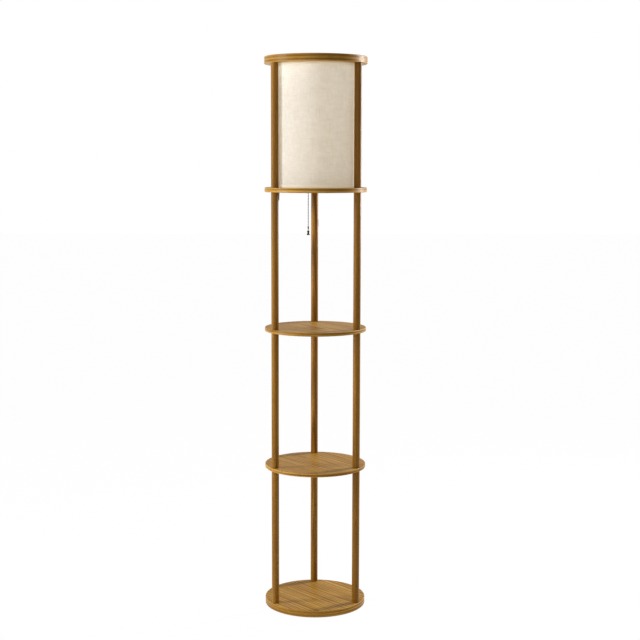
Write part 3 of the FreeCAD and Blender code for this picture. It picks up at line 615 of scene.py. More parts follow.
@dataclass(frozen=True)
class OakFinish:
    """Clear-lacquered oak, as veneer, as edge band or as turned dowel.

    The stretches say how fast each pattern changes along, across and into the grain.
    """

    name: str
    grain: Grain
    light: Colour = srgb(200, 154, 72)
    middle: Colour = srgb(162, 117, 42)
    dark: Colour = srgb(122, 81, 22)
    pore: Colour = srgb(90, 56, 16)
    ring_pitch: float = 0.0115
    grain_turn: float = 51.0
    heart: Point = (0.03, -0.062)
    drift: Point = (0.55, 0.085)
    stretch: float = 0.07
    rim_radius: float = 0.146
    roughness: float = 0.44
    sheen: float = 0.05
    sway_stretch: Place = (1.5, 38.0, 38.0)
    plain_stretch: Place = (4.0, 18.0, 18.0)
    cloud_stretch: Place = (3.0, 30.0, 30.0)
    fibre_stretch: Place = (9.0, 480.0, 480.0)
    pore_stretch: Place = (60.0, 1300.0, 1300.0)
    ring_shares: Point = (0.12, 0.5)
    cloud_share: float = 0.7
    fibre_share: float = 0.45
    tones: Place = (0.075, 0.35, 0.635)
    open_share: float = 0.65
    relief: float = 0.03 * MM

    def grain_place(self, recipe: Recipe) -> bpy.types.NodeSocket:
        """Coordinates along, across and into the grain.

        Args:
            recipe: the material's node tree.

        Returns:
            The coordinates, in metres.
        """
        if self.grain is Grain.ACROSS_THE_BOARD:
            turned = (0.0, 0.0, math.radians(self.grain_turn))
            moved = (*self.heart, 0.0)
            inputs = {"Vector": recipe.place, "Rotation": turned, "Location": moved}
            mapped = recipe.add("Mapping", inputs).outputs[0]
            level = recipe.add("SeparateXYZ", {0: recipe.place}).outputs[2]
            along, across = (recipe.reckon("MULTIPLY", level, share) for share in self.drift)
            offset = recipe.add("CombineXYZ", {0: along, 1: across}).outputs[0]
            return recipe.add("VectorMath", {0: mapped, 1: offset}, operation="ADD").outputs[0]
        if self.grain is Grain.ROUND_THE_RIM:
            return recipe.round_the_axis(self.rim_radius)
        parts = recipe.add("SeparateXYZ", {0: recipe.place}).outputs
        return recipe.add("CombineXYZ", {0: parts[2], 1: parts[0], 2: parts[1]}).outputs[0]

    def make(self) -> bpy.types.Material:
        """Build the material.

        Returns:
            The material.
        """
        recipe = Recipe(self.name)
        place = self.grain_place(recipe)
        rings = self.rings(recipe, place)
        plainness = recipe.noise(recipe.stretch(place, self.plain_stretch), 1.0)
        clouds = recipe.noise(recipe.stretch(place, self.cloud_stretch), 1.0, 4.0, 0.6)
        fibres = recipe.noise(recipe.stretch(place, self.fibre_stretch), 1.0, 5.0, 0.68)
        pores = recipe.noise(recipe.stretch(place, self.pore_stretch), 1.0)
        share = recipe.spread(plainness, (0.35, 0.65), self.ring_shares)
        figure = recipe.reckon("MULTIPLY", recipe.reckon("SUBTRACT", rings, 0.5), share)
        figure = recipe.reckon("ADD", figure, recipe.reckon("MULTIPLY", clouds, self.cloud_share))
        streaks = recipe.reckon("MULTIPLY", recipe.reckon("SUBTRACT", fibres, 0.5), self.fibre_share)
        figure = recipe.reckon("ADD", figure, streaks)
        colour = recipe.ramp(figure, list(zip(self.tones, (self.dark, self.middle, self.light))))
        open_pores = recipe.spread(pores, (0.58, 0.7), (0.0, self.open_share))
        height = recipe.reckon("SUBTRACT", recipe.reckon("MULTIPLY", fibres, 0.35), open_pores)
        gloss = (self.roughness - 0.05, self.roughness + 0.08)
        return recipe.surface(
            {
                "Base Color": recipe.blend(open_pores, colour, self.pore),
                "Roughness": recipe.spread(fibres, (0.3, 0.7), gloss),
                "IOR": 1.5,
                "Specular IOR Level": self.sheen,
                "Normal": recipe.relief(height, self.relief, 0.6),
            }
        )

    def rings(self, recipe: Recipe, place: bpy.types.NodeSocket) -> bpy.types.NodeSocket:
        """The year rings, which sway a little along the grain.

        Args:
            recipe: the material's node tree.
            place: the coordinates along, across and into the grain.

        Returns:
            How late in its year the wood grew, from 0 to 1.
        """
        sway = recipe.noise(recipe.stretch(place, self.sway_stretch), 1.0)
        sideways = recipe.reckon("MULTIPLY", sway, self.ring_pitch * 2)
        shift = recipe.add("CombineXYZ", {1: sideways}).outputs[0]
        swayed = recipe.add("VectorMath", {0: place, 1: shift}, operation="ADD").outputs[0]
        return recipe.add(
            "TexWave",
            {
                "Vector": recipe.stretch(swayed, (self.stretch, 1.0, 1.0)),
                "Scale": FULL_TURN / 20 / self.ring_pitch,
                "Distortion": 3.5,
                "Detail": 3.0,
                "Detail Scale": 0.7,
                "Detail Roughness": 0.5,
            },
            wave_type="RINGS",
            rings_direction="Z",
        ).outputs[1]


@dataclass(frozen=True)
class ClothFinish:
    """A plain linen weave, or the tape and the lining that go with it. Its emission is a painted glow on
    the cloth, which stands in for light shining through the shade.
    """

    name: str
    colour: Colour
    shadow: Colour
    thread_pitch: float = 0.0009
    radius: float = 0.121
    slub: float = 0.10
    glow: float = 0.35
    # painted glow: the cloth's emission stands in for light shining through the shade
    lit: float = 0.0
    lit_colour: Colour = (1.0, 0.89, 0.66)
    roughness: float = 0.9
    slub_length: float = 22.0
    slub_width: float = 900.0
    mottle_scale: float = 95.0
    wander: Point = (260.0, 2.2)
    thread_shade: float = 0.22
    relief: float = 0.12 * MM

    def thread(self, recipe: Recipe, across: object, wander: object) -> bpy.types.NodeSocket:
        """Repeat threads across one direction of the cloth."""
        turns = recipe.reckon("MULTIPLY", across, FULL_TURN / self.thread_pitch)
        return recipe.reckon("SINE", recipe.reckon("ADD", turns, wander))

    def slubs(self, recipe: Recipe, place: object) -> bpy.types.NodeSocket:
        """Thicken some threads here and there, upright and level.

        Args:
            recipe: the material's node tree.
            place: the coordinates on the unrolled cloth.

        Returns:
            How thick the threads are, from 0 to 1.
        """
        stretches = ((self.slub_width, self.slub_length, 1.0), (self.slub_length, self.slub_width, 1.0))
        upright, level = (recipe.noise(recipe.stretch(place, stretch), 1.0) for stretch in stretches)
        return recipe.spread(recipe.reckon("MAXIMUM", upright, level), (0.52, 0.75))

    def make(self) -> bpy.types.Material:
        """Build the material.

        Returns:
            The material.
        """
        recipe = Recipe(self.name)
        place = recipe.round_the_axis(self.radius)
        parts = recipe.add("SeparateXYZ", {0: place}).outputs
        wander = recipe.reckon("MULTIPLY", recipe.noise(place, self.wander[0]), self.wander[1])
        warp, weft = (self.thread(recipe, part, wander) for part in parts[:2])
        weave = recipe.spread(recipe.reckon("MULTIPLY", warp, weft), (-1.0, 1.0))
        slubs = self.slubs(recipe, place)
        clouds = recipe.noise(place, self.mottle_scale, 4.0, 0.65)
        mottle = recipe.spread(clouds, (0.35, 0.65), (0.0, self.slub * 1.5))
        shade = recipe.reckon("MULTIPLY", recipe.reckon("SUBTRACT", 1.0, weave), self.thread_shade)
        shade = recipe.reckon("ADD", shade, recipe.reckon("MULTIPLY", slubs, self.slub * 3))
        shade = recipe.reckon("ADD", shade, mottle)
        colour = recipe.blend(shade, self.colour, self.shadow)
        raised = recipe.reckon("MULTIPLY", weave, 0.7)
        height = recipe.reckon("ADD", raised, recipe.reckon("MULTIPLY", slubs, 0.6))
        normal = recipe.relief(height, self.relief, 0.55)
        cloth = recipe.add(
            "BsdfPrincipled",
            {
                "Base Color": colour,
                "Roughness": self.roughness,
                "Specular IOR Level": 0.2,
                "Sheen Weight": 0.15,
                "Sheen Roughness": 0.5,
                # painted glow: an emission on the cloth, which is no lamp, for light coming through the
                # shade
                "Emission Color": (*self.lit_colour, 1.0),
                "Emission Strength": self.lit / (1.0 - self.glow),
                "Normal": normal,
            },
        )
        through = recipe.add("BsdfTranslucent", {"Color": colour, "Normal": normal})
        shaders = {0: self.glow, 1: cloth.outputs[0], 2: through.outputs[0]}
        return recipe.show(recipe.add("MixShader", shaders))


@dataclass(frozen=True)
class MetalFinish:
    """A plated, turned or blackened metal."""

    name: str
    colour: Colour
    worn: Colour
    roughness: float = 0.25
    wear: float = 0.3
    grain: float = 900.0
    patch_scale: float = 140.0
    brushing: Place = (1.0, 1.0, 3.5)
    relief: float = 0.01 * MM

    def make(self) -> bpy.types.Material:
        """Build the material.

        Returns:
            The material.
        """
        recipe = Recipe(self.name)
        patches = recipe.noise(recipe.place, self.patch_scale, 3.0)
        fine = recipe.noise(recipe.stretch(recipe.place, self.brushing), self.grain)
        dull = recipe.spread(patches, (0.35, 0.75), (0.0, self.wear))
        gloss = (self.roughness * 0.8, self.roughness * 1.5)
        return recipe.surface(
            {
                "Base Color": recipe.blend(dull, self.colour, self.worn),
                "Metallic": 1.0,
                "Roughness": recipe.spread(patches, (0.3, 0.7), gloss),
                "Normal": recipe.relief(fine, self.relief, 0.35),
            }
        )


@dataclass(frozen=True)
class MouldedFinish:
    """Moulded plastic, card or vitreous enamel."""

    name: str
    colour: Colour
    mottled: Colour
    roughness: float = 0.4
    grain: float = 1500.0
    cloud_scale: float = 90.0
    relief: float = 0.02 * MM
    clearness: float = 0.0
    lit: float = 0.0
    lit_colour: Colour = (1.0, 0.81, 0.43)

    def make(self) -> bpy.types.Material:
        """Build the material.

        Returns:
            The material.
        """
        recipe = Recipe(self.name)
        clouds = recipe.noise(recipe.place, self.cloud_scale, 3.0)
        fine = recipe.noise(recipe.place, self.grain)
        share = recipe.spread(clouds, (0.35, 0.7), (0.0, 0.6))
        gloss = (self.roughness - 0.05, self.roughness + 0.08)
        return recipe.surface(
            {
                "Base Color": recipe.blend(share, self.colour, self.mottled),
                "Roughness": recipe.spread(fine, (0.3, 0.7), gloss),
                "Transmission Weight": self.clearness,
                "Emission Color": (*self.lit_colour, 1.0),
                "Emission Strength": self.lit,
                "IOR": 1.48,
                "Normal": recipe.relief(fine, self.relief, 0.4),
            }
        )


@dataclass(frozen=True)
class FeltFinish:
    """Pressed felt, with loose fibres."""

    name: str
    colour: Colour
    fibre: Colour
    fibre_scale: float = 2200.0
    tuft_scale: float = 350.0
    relief: float = 0.25 * MM

    def make(self) -> bpy.types.Material:
        """Build the material.

        Returns:
            The material.
        """
        recipe = Recipe(self.name)
        fibres = recipe.noise(recipe.place, self.fibre_scale, 4.0, 0.7)
        tufts = recipe.noise(recipe.place, self.tuft_scale)
        share = recipe.spread(recipe.reckon("ADD", fibres, tufts), (0.8, 1.25))
        return recipe.surface(
            {
                "Base Color": recipe.blend(share, self.colour, self.fibre),
                "Roughness": 0.95,
                "Specular IOR Level": 0.1,
                "Sheen Weight": 0.4,
                "Sheen Roughness": 0.6,
                "Normal": recipe.relief(fibres, self.relief, 0.8),
            }
        )


@dataclass
class Finishes:
    """Every finish of the lamp, made once."""

    board: bpy.types.Material = field(init=False)
    band: bpy.types.Material = field(init=False)
    pole: bpy.types.Material = field(init=False)
    linen: bpy.types.Material = field(init=False)
    lining: bpy.types.Material = field(init=False)
    tape: bpy.types.Material = field(init=False)
    felt: bpy.types.Material = field(init=False)
    zinc: bpy.types.Material = field(init=False)
    brass: bpy.types.Material = field(init=False)
    holder_brass: bpy.types.Material = field(init=False)
    hoop_wire: bpy.types.Material = field(init=False)
    card: bpy.types.Material = field(init=False)
    core: bpy.types.Material = field(init=False)
    aluminium: bpy.types.Material = field(init=False)
    nickel: bpy.types.Material = field(init=False)
    bronze: bpy.types.Material = field(init=False)
    solder: bpy.types.Material = field(init=False)
    black_glass: bpy.types.Material = field(init=False)
    bulb_glass: bpy.types.Material = field(init=False)
    moulding: bpy.types.Material = field(init=False)

    def make(self) -> None:
        """Make the materials."""
        self.board = OakFinish(
            "oak_board",
            Grain.ACROSS_THE_BOARD,
            light=srgb(181, 139, 68),
            middle=srgb(151, 110, 45),
            dark=srgb(122, 84, 32),
            fibre_share=0.26,
        ).make()
        self.band = OakFinish(
            "oak_band", Grain.ROUND_THE_RIM, roughness=0.36, sheen=0.12, ring_pitch=0.0085, stretch=0.04
        ).make()
        self.pole = OakFinish(
            "oak_pole",
            Grain.UP_THE_POLE,
            light=srgb(162, 114, 39),
            middle=srgb(136, 92, 26),
            dark=srgb(103, 66, 15),
            roughness=0.3,
            sheen=0.12,
            ring_pitch=0.0034,
            stretch=0.02,
        ).make()
        # the linen carries a painted glow, an emission that stands in for light shining through the shade
        self.linen = ClothFinish(
            "linen", srgb(243, 241, 239), srgb(196, 188, 176), glow=0.69, lit=0.12
        ).make()
        self.lining = ClothFinish(
            "lining",
            srgb(252, 251, 248),
            srgb(244, 241, 235),
            glow=0.85,
            slub=0.0,
            roughness=0.5,
        ).make()
        # the tape carries the same painted glow as the linen
        self.tape = ClothFinish(
            "tape",
            srgb(246, 242, 235),
            srgb(216, 207, 192),
            thread_pitch=0.6 * MM,
            glow=0.6,
            slub=0.04,
            lit=0.1,
        ).make()
        self.felt = FeltFinish("felt", srgb(58, 49, 43), srgb(96, 84, 75)).make()
        self.zinc = self.metal("zinc", (196, 199, 203), (150, 152, 156), roughness=0.3)
        self.brass = self.metal("insert_brass", (214, 178, 104), (160, 124, 66))
        self.holder_brass = self.metal(
            "holder_brass", (222, 188, 118), (168, 132, 74), roughness=0.2
        )
        self.hoop_wire = self.metal("hoop_wire", (226, 224, 218), (190, 186, 178), roughness=0.35)
        self.aluminium = self.metal("aluminium", (205, 205, 203), (160, 160, 158), roughness=0.32)
        self.nickel = self.metal("nickel", (88, 84, 78), (60, 56, 51), roughness=0.3)
        self.bronze = self.metal("bronze", (66, 51, 38), (36, 29, 24), roughness=0.35, wear=0.7)
        self.solder = self.metal("solder", (176, 178, 182), (130, 132, 136), roughness=0.45)
        self.card = self.moulded(
            "card", (92, 74, 58), (70, 54, 40), roughness=0.75, relief=0.05 * MM
        )
        self.core = self.moulded("core", (44, 38, 35), (32, 28, 26), roughness=0.45)
        self.moulding = self.moulded("moulding", (70, 52, 40), (58, 43, 33), roughness=0.38)
        self.black_glass = self.moulded(
            "black_glass", (20, 18, 22), (34, 30, 38), roughness=0.12, relief=0.005 * MM
        )
        self.bulb_glass = self.moulded(
            "bulb_glass",
            (246, 244, 238),
            (238, 235, 227),
            roughness=0.3,
            relief=0.004 * MM,
            clearness=0.3,
            lit=0.5,
        )

    def metal(
        self,
        name: str,
        colour: tuple[int, int, int],
        worn: tuple[int, int, int],
        **settings: float,
    ) -> bpy.types.Material:
        """Make one metal from two colours as seen on screen."""
        return MetalFinish(name, srgb(*colour), srgb(*worn), **settings).make()

    def moulded(
        self,
        name: str,
        colour: tuple[int, int, int],
        mottled: tuple[int, int, int],
        **settings: float,
    ) -> bpy.types.Material:
        """Make one moulded finish from two colours as seen on screen."""
        return MouldedFinish(name, srgb(*colour), srgb(*mottled), **settings).make()


FINISHES = Finishes()


# ---------------------------------------------------------------- boards, ring and poles


@dataclass
class RoundBoards:
    """The base, the two shelves and the shade floor, each a veneered disc in an edge band."""

    steps: int = 192
    seam: float = 0.12 * MM
    band_round: float = 1.2 * MM
    bolt_bore: float = 9.0 * MM
    nut_recess: float = 12.5 * MM
    eyelet_hole: float = 3.85 * MM
    spout_hole: float = 4.35 * MM

    def disc(self, name: str) -> bpy.types.Object:
        """Turn one veneered disc, with its upper and lower arris just broken.

        Args:
            name: the board's node.

        Returns:
            The disc.
        """
        room = Room.of(name)
        low, high, radius = room.bottom, room.top, room.radius
        profile = [
            (0.0, low),
            (radius - self.seam, low),
            (radius, low + self.seam),
            (radius, high - self.seam),
            (radius - self.seam, high),
            (0.0, high),
        ]
        return turn(f"{name}_veneered", profile, self.steps, closed=False)

    def band(self, name: str, inner: float) -> bpy.types.Object:
        """Turn one edge band with rounded outer edges.

        Args:
            name: the band's node.
            inner: the radius that it is glued to.

        Returns:
            The band.
        """
        room = Room.of(name)
        low, high, outer, soft = room.bottom, room.top, room.radius, self.band_round
        profile = [
            (inner, low),
            *quarter((outer - soft, low), (outer, low + soft), soft, 4),
            *quarter((outer, high - soft), (outer - soft, high), soft, 4),
            (inner, high),
        ]
        return turn(f"{name}_rolled", profile, self.steps)

    def bore(
        self,
        board: bpy.types.Object,
        radius: float,
        centre: Point,
        low: float,
        high: float,
    ) -> None:
        """Cut a round hole into a board.

        Args:
            board: the board.
            radius: the hole's radius.
            centre: the hole's middle.
            low: where the hole starts.
            high: where it ends.
        """
        middle = (*centre, (low + high) / 2)
        cut(board, rod("cutter", 48, radius, high - low, middle))

    def build(self) -> None:
        """Make and dress all four boards and their bands."""
        for name in ("base", "lower_shelf", "upper_shelf", "shade_floor"):
            board = self.disc(f"{name}_board")
            if name == "base":
                self.bore_base(board)
            if name == "shade_floor":
                self.bore_shade_floor(board)
            settle(board)
            fit(board, Body.LAMP, FINISHES.board, [f"{name}_board"])
            band = settle(self.band(f"{name}_edge_band", Room.of(f"{name}_board").radius), 50.0)
            fit(band, Body.LAMP, FINISHES.band, [f"{name}_edge_band"])

    def bore_base(self, board: bpy.types.Object) -> None:
        """Cut the counterbores for the bolts under the poles.

        Args:
            board: the base board.
        """
        room = Room.of("base_board")
        washer_top = Room.of("base_washers").top
        for corner in CORNERS:
            centre = Room.of(f"pole_{corner}_lower").centre
            self.bore(board, self.bolt_bore, centre, room.bottom - MM, washer_top)

    def bore_shade_floor(self, board: bpy.types.Object) -> None:
        """Cut the nut's recess and the holes for the chain and the cord outlet.

        Args:
            board: the shade floor.
        """
        room = Room.of("shade_floor_board")
        recess_top = Room.of("nipple_washer").top
        self.bore(board, self.nut_recess, (0.0, 0.0), room.bottom - MM, recess_top)
        for node, radius in (("chain_eyelet", self.eyelet_hole), ("cord_bushing", self.spout_hole)):
            self.bore(board, radius, Room.of(node).centre, room.bottom - MM, room.top + MM)


@dataclass
class TopRing:
    """The open ring that ties the poles' upper ends together."""

    steps: int = 192
    width: float = 34.0 * MM
    soft: float = 2.0 * MM

    def build(self) -> None:
        """Turn the ring with all four edges rounded, and dress it."""
        room = Room.of("top_ring")
        low, high, outer = room.bottom, room.top, room.radius
        inner, soft = outer - self.width, self.soft
        corners = [
            ((outer - soft, low), (outer, low + soft)),
            ((outer, high - soft), (outer - soft, high)),
            ((inner + soft, high), (inner, high - soft)),
            ((inner, low + soft), (inner + soft, low)),
        ]
        profile = []
        for start, end in corners:
            profile += quarter(start, end, soft, 5)
        ring = settle(turn("top_ring_turned", profile, self.steps), 50.0)
        fit(ring, Body.LAMP, FINISHES.band, ["top_ring"])


@dataclass
class Poles:
    """Three poles, each of four dowels that stand between the boards."""

    steps: int = 56
    soft: float = 0.8 * MM

    def dowel(self, node: str) -> bpy.types.Object:
        """Turn one dowel with rounded ends.

        Args:
            node: the dowel's node.

        Returns:
            The dowel.
        """
        room = Room.of(node)
        low, high, radius, soft = room.bottom, room.top, room.radius, self.soft
        profile = [
            (0.0, low),
            *quarter((radius - soft, low), (radius, low + soft), soft, 3),
            *quarter((radius, high - soft), (radius - soft, high), soft, 3),
            (0.0, high),
        ]
        dowel = turn(f"{node}_dowel", profile, self.steps, room.centre, closed=False)
        return settle(dowel, 50.0)

    def build(self) -> None:
        """Make one dowel for each level and copy it to the other poles."""
        for level in LEVELS:
            first_node = f"pole_{CORNERS[0]}_{level}"
            first = self.dowel(first_node)
            start = Vector(Room.of(first_node).centre)
            for corner in CORNERS:
                node = f"pole_{corner}_{level}"
                piece = first
                if corner != CORNERS[0]:
                    move = Vector(Room.of(node).centre) - start
                    piece = copy_of(first, f"{node}_dowel", (*move, 0.0))
                fit(piece, Body.LAMP, FINISHES.pole, [node])


@dataclass
class BaseFittings:
    """Felt feet, and the bolts and washers that hold the poles to the base."""

    foot_radius: float = 9.0 * MM
    foot_inset: float = 24.0 * MM
    foot_count: int = 6
    head_radius: float = 5.5 * MM
    head_height: float = 3.5 * MM
    shank_radius: float = 3.0 * MM
    socket_radius: float = 2.3 * MM
    socket_depth: float = 2.0 * MM
    washer_radius: float = 8.0 * MM
    washer_hole: float = 3.3 * MM
    edge: float = 0.5 * MM
    hollow: float = 0.08 * MM
    hollow_rim: float = 0.05 * MM
    rim_share: float = 0.6
    foot_bulge: float = 0.15 * MM
    foot_taper: float = 0.1 * MM
    washer_edge: float = 0.2 * MM

    def foot(self) -> bpy.types.Object:
        """Cut one felt pad, soft at its lower edge and a little hollow in the middle.

        Returns:
            The pad.
        """
        room = Room.of("foot_pads")
        low, high, radius, soft = room.bottom, room.top, self.foot_radius, self.edge
        profile = [
            (0.0, low + self.hollow),
            (radius * self.rim_share, low + self.hollow_rim),
            *arc((radius - soft, low), (radius, low + soft), self.foot_bulge, 2),
            (radius - self.foot_taper, high),
            (0.0, high),
        ]
        centre = (Room.of("base_edge_band").radius - self.foot_inset, 0.0)
        return settle(turn("foot", profile, 40, centre, closed=False))

    def bolt(self, centre: Point) -> bpy.types.Object:
        """Turn one bolt and sink a hexagon socket in its head.

        Args:
            centre: where the bolt stands.

        Returns:
            The bolt.
        """
        room = Room.of("base_bolts")
        low, high, edge = room.bottom, room.top, self.edge
        neck = low + self.head_height
        profile = [
            (0.0, low),
            (self.head_radius - edge, low),
            (self.head_radius, low + edge),
            (self.head_radius, neck),
            (self.shank_radius, neck),
            (self.shank_radius, high - edge),
            (self.shank_radius - edge, high),
            (0.0, high),
        ]
        bolt = turn("bolt", profile, 36, centre, closed=False)
        cut(bolt, rod("cutter", 6, self.socket_radius, 2 * self.socket_depth, (*centre, low)))
        return settle(bolt)

    def washer(self, centre: Point) -> bpy.types.Object:
        """Stamp one washer with rolled edges.

        Args:
            centre: where the washer lies.

        Returns:
            The washer.
        """
        room = Room.of("base_washers")
        profile = [
            (self.washer_hole, room.bottom),
            (self.washer_radius, room.bottom),
            (self.washer_radius, room.top),
            (self.washer_hole, room.top),
        ]
        washer = turn("washer", profile, 40, centre)
        ease(washer, self.washer_edge)
        return settle(washer)

    def under_each_pole(
        self,
        maker: Callable[[Point], bpy.types.Object],
        name: str,
        node: str,
    ) -> None:
        """Make one fitting under a pole and copy it under the others.

        Args:
            maker: what makes the fitting at a place.
            name: the joined piece's name.
            node: the node that it stands for.
        """
        start = Vector(Room.of("pole_front_right_lower").centre)
        first = maker(tuple(start))
        copies = [first]
        for corner in ("front_left", "back"):
            move = Vector(Room.of(f"pole_{corner}_lower").centre) - start
            copies.append(copy_of(first, name, (*move, 0.0)))
        fit(join(copies, name), Body.LAMP, FINISHES.zinc, [node])

    def build(self) -> None:
        """Make the feet, the bolts and the washers, and dress them."""
        foot = self.foot()
        feet = [foot]
        for index in range(1, self.foot_count):
            feet.append(copy_of(foot, "foot", turned=index * FULL_TURN / self.foot_count))
        fit(join(feet, "felt_feet"), Body.LAMP, FINISHES.felt, ["foot_pads"])
        self.under_each_pole(self.bolt, "bolts_under_poles", "base_bolts")
        self.under_each_pole(self.washer, "washers_under_poles", "base_washers")
        dress("threaded_inserts", FINISHES.brass)
        dress("board_studs", FINISHES.zinc)
        dress("ring_studs", FINISHES.zinc)


# ---------------------------------------------------------------- the drum shade


@dataclass
class DrumShade:
    """The linen drum with its lining, folded tapes, wire hoops and the clips that hold it down."""

    steps: int = 240
    cloth: float = 0.8 * MM
    lap: float = 12.0 * MM
    lap_thickness: float = 0.35 * MM
    lap_sink: float = 0.05 * MM
    lap_place: float = 78.0
    tape_sheet: float = 0.4 * MM
    tape_gap: float = 0.3 * MM
    tape_edge: float = 0.1 * MM
    fold_round: float = 0.2 * MM
    liner_sheet: float = 0.3 * MM
    wire_radius: float = 1.25 * MM
    wire_sides: int = 12

    def drum(self) -> bpy.types.Object:
        """Roll the cloth into a drum, with its lapped seam at the back.

        Returns:
            The drum.
        """
        room = Room.of("shade_fabric")
        low, high, outer = room.bottom, room.top, room.radius
        inner = outer - self.cloth
        middle = low + (high - low) / 2
        profile = [
            (inner, low),
            (outer, low),
            (outer, middle),
            (outer, high),
            (inner, high),
            (inner, middle),
        ]
        tube = turn("drum", profile, self.steps)
        seam = self.seam(outer, low, high)
        return settle(join([tube, seam], "shade_cloth"), 40.0)

    def seam(self, outer: float, low: float, high: float) -> bpy.types.Object:
        """Lay the strip that stands for the lapped end of the cloth.

        Args:
            outer: the drum's radius.
            low: the cloth's lower edge.
            high: its upper edge.

        Returns:
            The strip.
        """
        thickness = self.lap_thickness
        place = (outer + thickness / 2 - self.lap_sink, 0.0, (low + high) / 2)
        deselect()
        bpy.ops.mesh.primitive_plane_add(
            size=1.0, location=place, rotation=(math.pi / 2, 0.0, 0.0)
        )
        strip = named("lap")
        strip.scale = (thickness, high - low, 1.0)
        bpy.ops.object.transform_apply(location=True, rotation=True, scale=True)
        with editing(strip):
            bpy.ops.mesh.spin(steps=6, angle=self.lap / outer, center=(0, 0, 0), axis=(0, 0, 1))
            bpy.ops.mesh.select_all(action="SELECT")
            bpy.ops.mesh.normals_make_consistent(inside=False)
        strip.rotation_euler.z = math.radians(self.lap_place)
        return settle(strip)

    def tape(self, node: str, opens_up: bool) -> bpy.types.Object:
        """Fold a tape over an edge of the drum.

        Args:
            node: the tape's node.
            opens_up: whether the fold is at its lower side.

        Returns:
            The tape.
        """
        room = Room.of(node)
        outer, sheet, soft = room.radius, self.tape_sheet, self.fold_round
        inner = Room.of("shade_liner").radius - self.tape_gap - sheet
        edge, tips, sign = (room.bottom, room.top, 1) if opens_up else (room.top, room.bottom, -1)
        profile = [
            (inner, edge + sign * soft),
            (inner + soft, edge),
            (outer - soft, edge),
            (outer, edge + sign * soft),
            (outer, tips - sign * self.tape_edge),
            (outer - self.tape_edge, tips),
            (outer - sheet, tips),
            (outer - sheet, edge + sign * sheet),
            (inner + sheet, edge + sign * sheet),
            (inner + sheet, tips),
            (inner, tips),
        ]
        return settle(turn(f"{node}_folded", profile, self.steps), 50.0)

    def hoop(self, node: str) -> bpy.types.Object:
        """Bend a wire into a hoop.

        Args:
            node: the hoop's node.

        Returns:
            The hoop.
        """
        room = Room.of(node)
        wire = self.wire_radius
        height = (room.bottom + room.top) / 2
        centre = room.radius - wire
        profile = []
        for index in range(self.wire_sides):
            angle = index * FULL_TURN / self.wire_sides
            profile.append((centre + wire * math.cos(angle), height + wire * math.sin(angle)))
        return settle(turn(f"{node}_wire", profile, self.steps), 60.0)

    def lining(self) -> bpy.types.Object:
        """Roll the thin lining inside the cloth.

        Returns:
            The lining.
        """
        room = Room.of("shade_liner")
        inner = room.radius - self.liner_sheet
        profile = [
            (inner, room.bottom),
            (room.radius, room.bottom),
            (room.radius, room.top),
            (inner, room.top),
        ]
        return settle(turn("shade_lining", profile, self.steps), 40.0)

    def build(self) -> None:
        """Make and dress the whole shade."""
        cloth = fit(self.drum(), Body.LAMP, FINISHES.linen, ["shade_fabric"])
        room = Room.of("shade_fabric")
        for node, opens_up in (("shade_bottom_trim", True), ("shade_top_trim", False)):
            tape = self.tape(node, opens_up)
            fit(tape, Body.LAMP, FINISHES.tape, [node])
        fit(self.lining(), Body.LAMP, FINISHES.lining, ["shade_liner"])
        for node in ("shade_bottom_hoop", "shade_top_hoop"):
            fit(self.hoop(node), Body.LAMP, FINISHES.hoop_wire, [node])
        dress("shade_clips", FINISHES.zinc)
        dress("shade_clip_screws", FINISHES.zinc)


# ---------------------------------------------------------------- the lamp holder


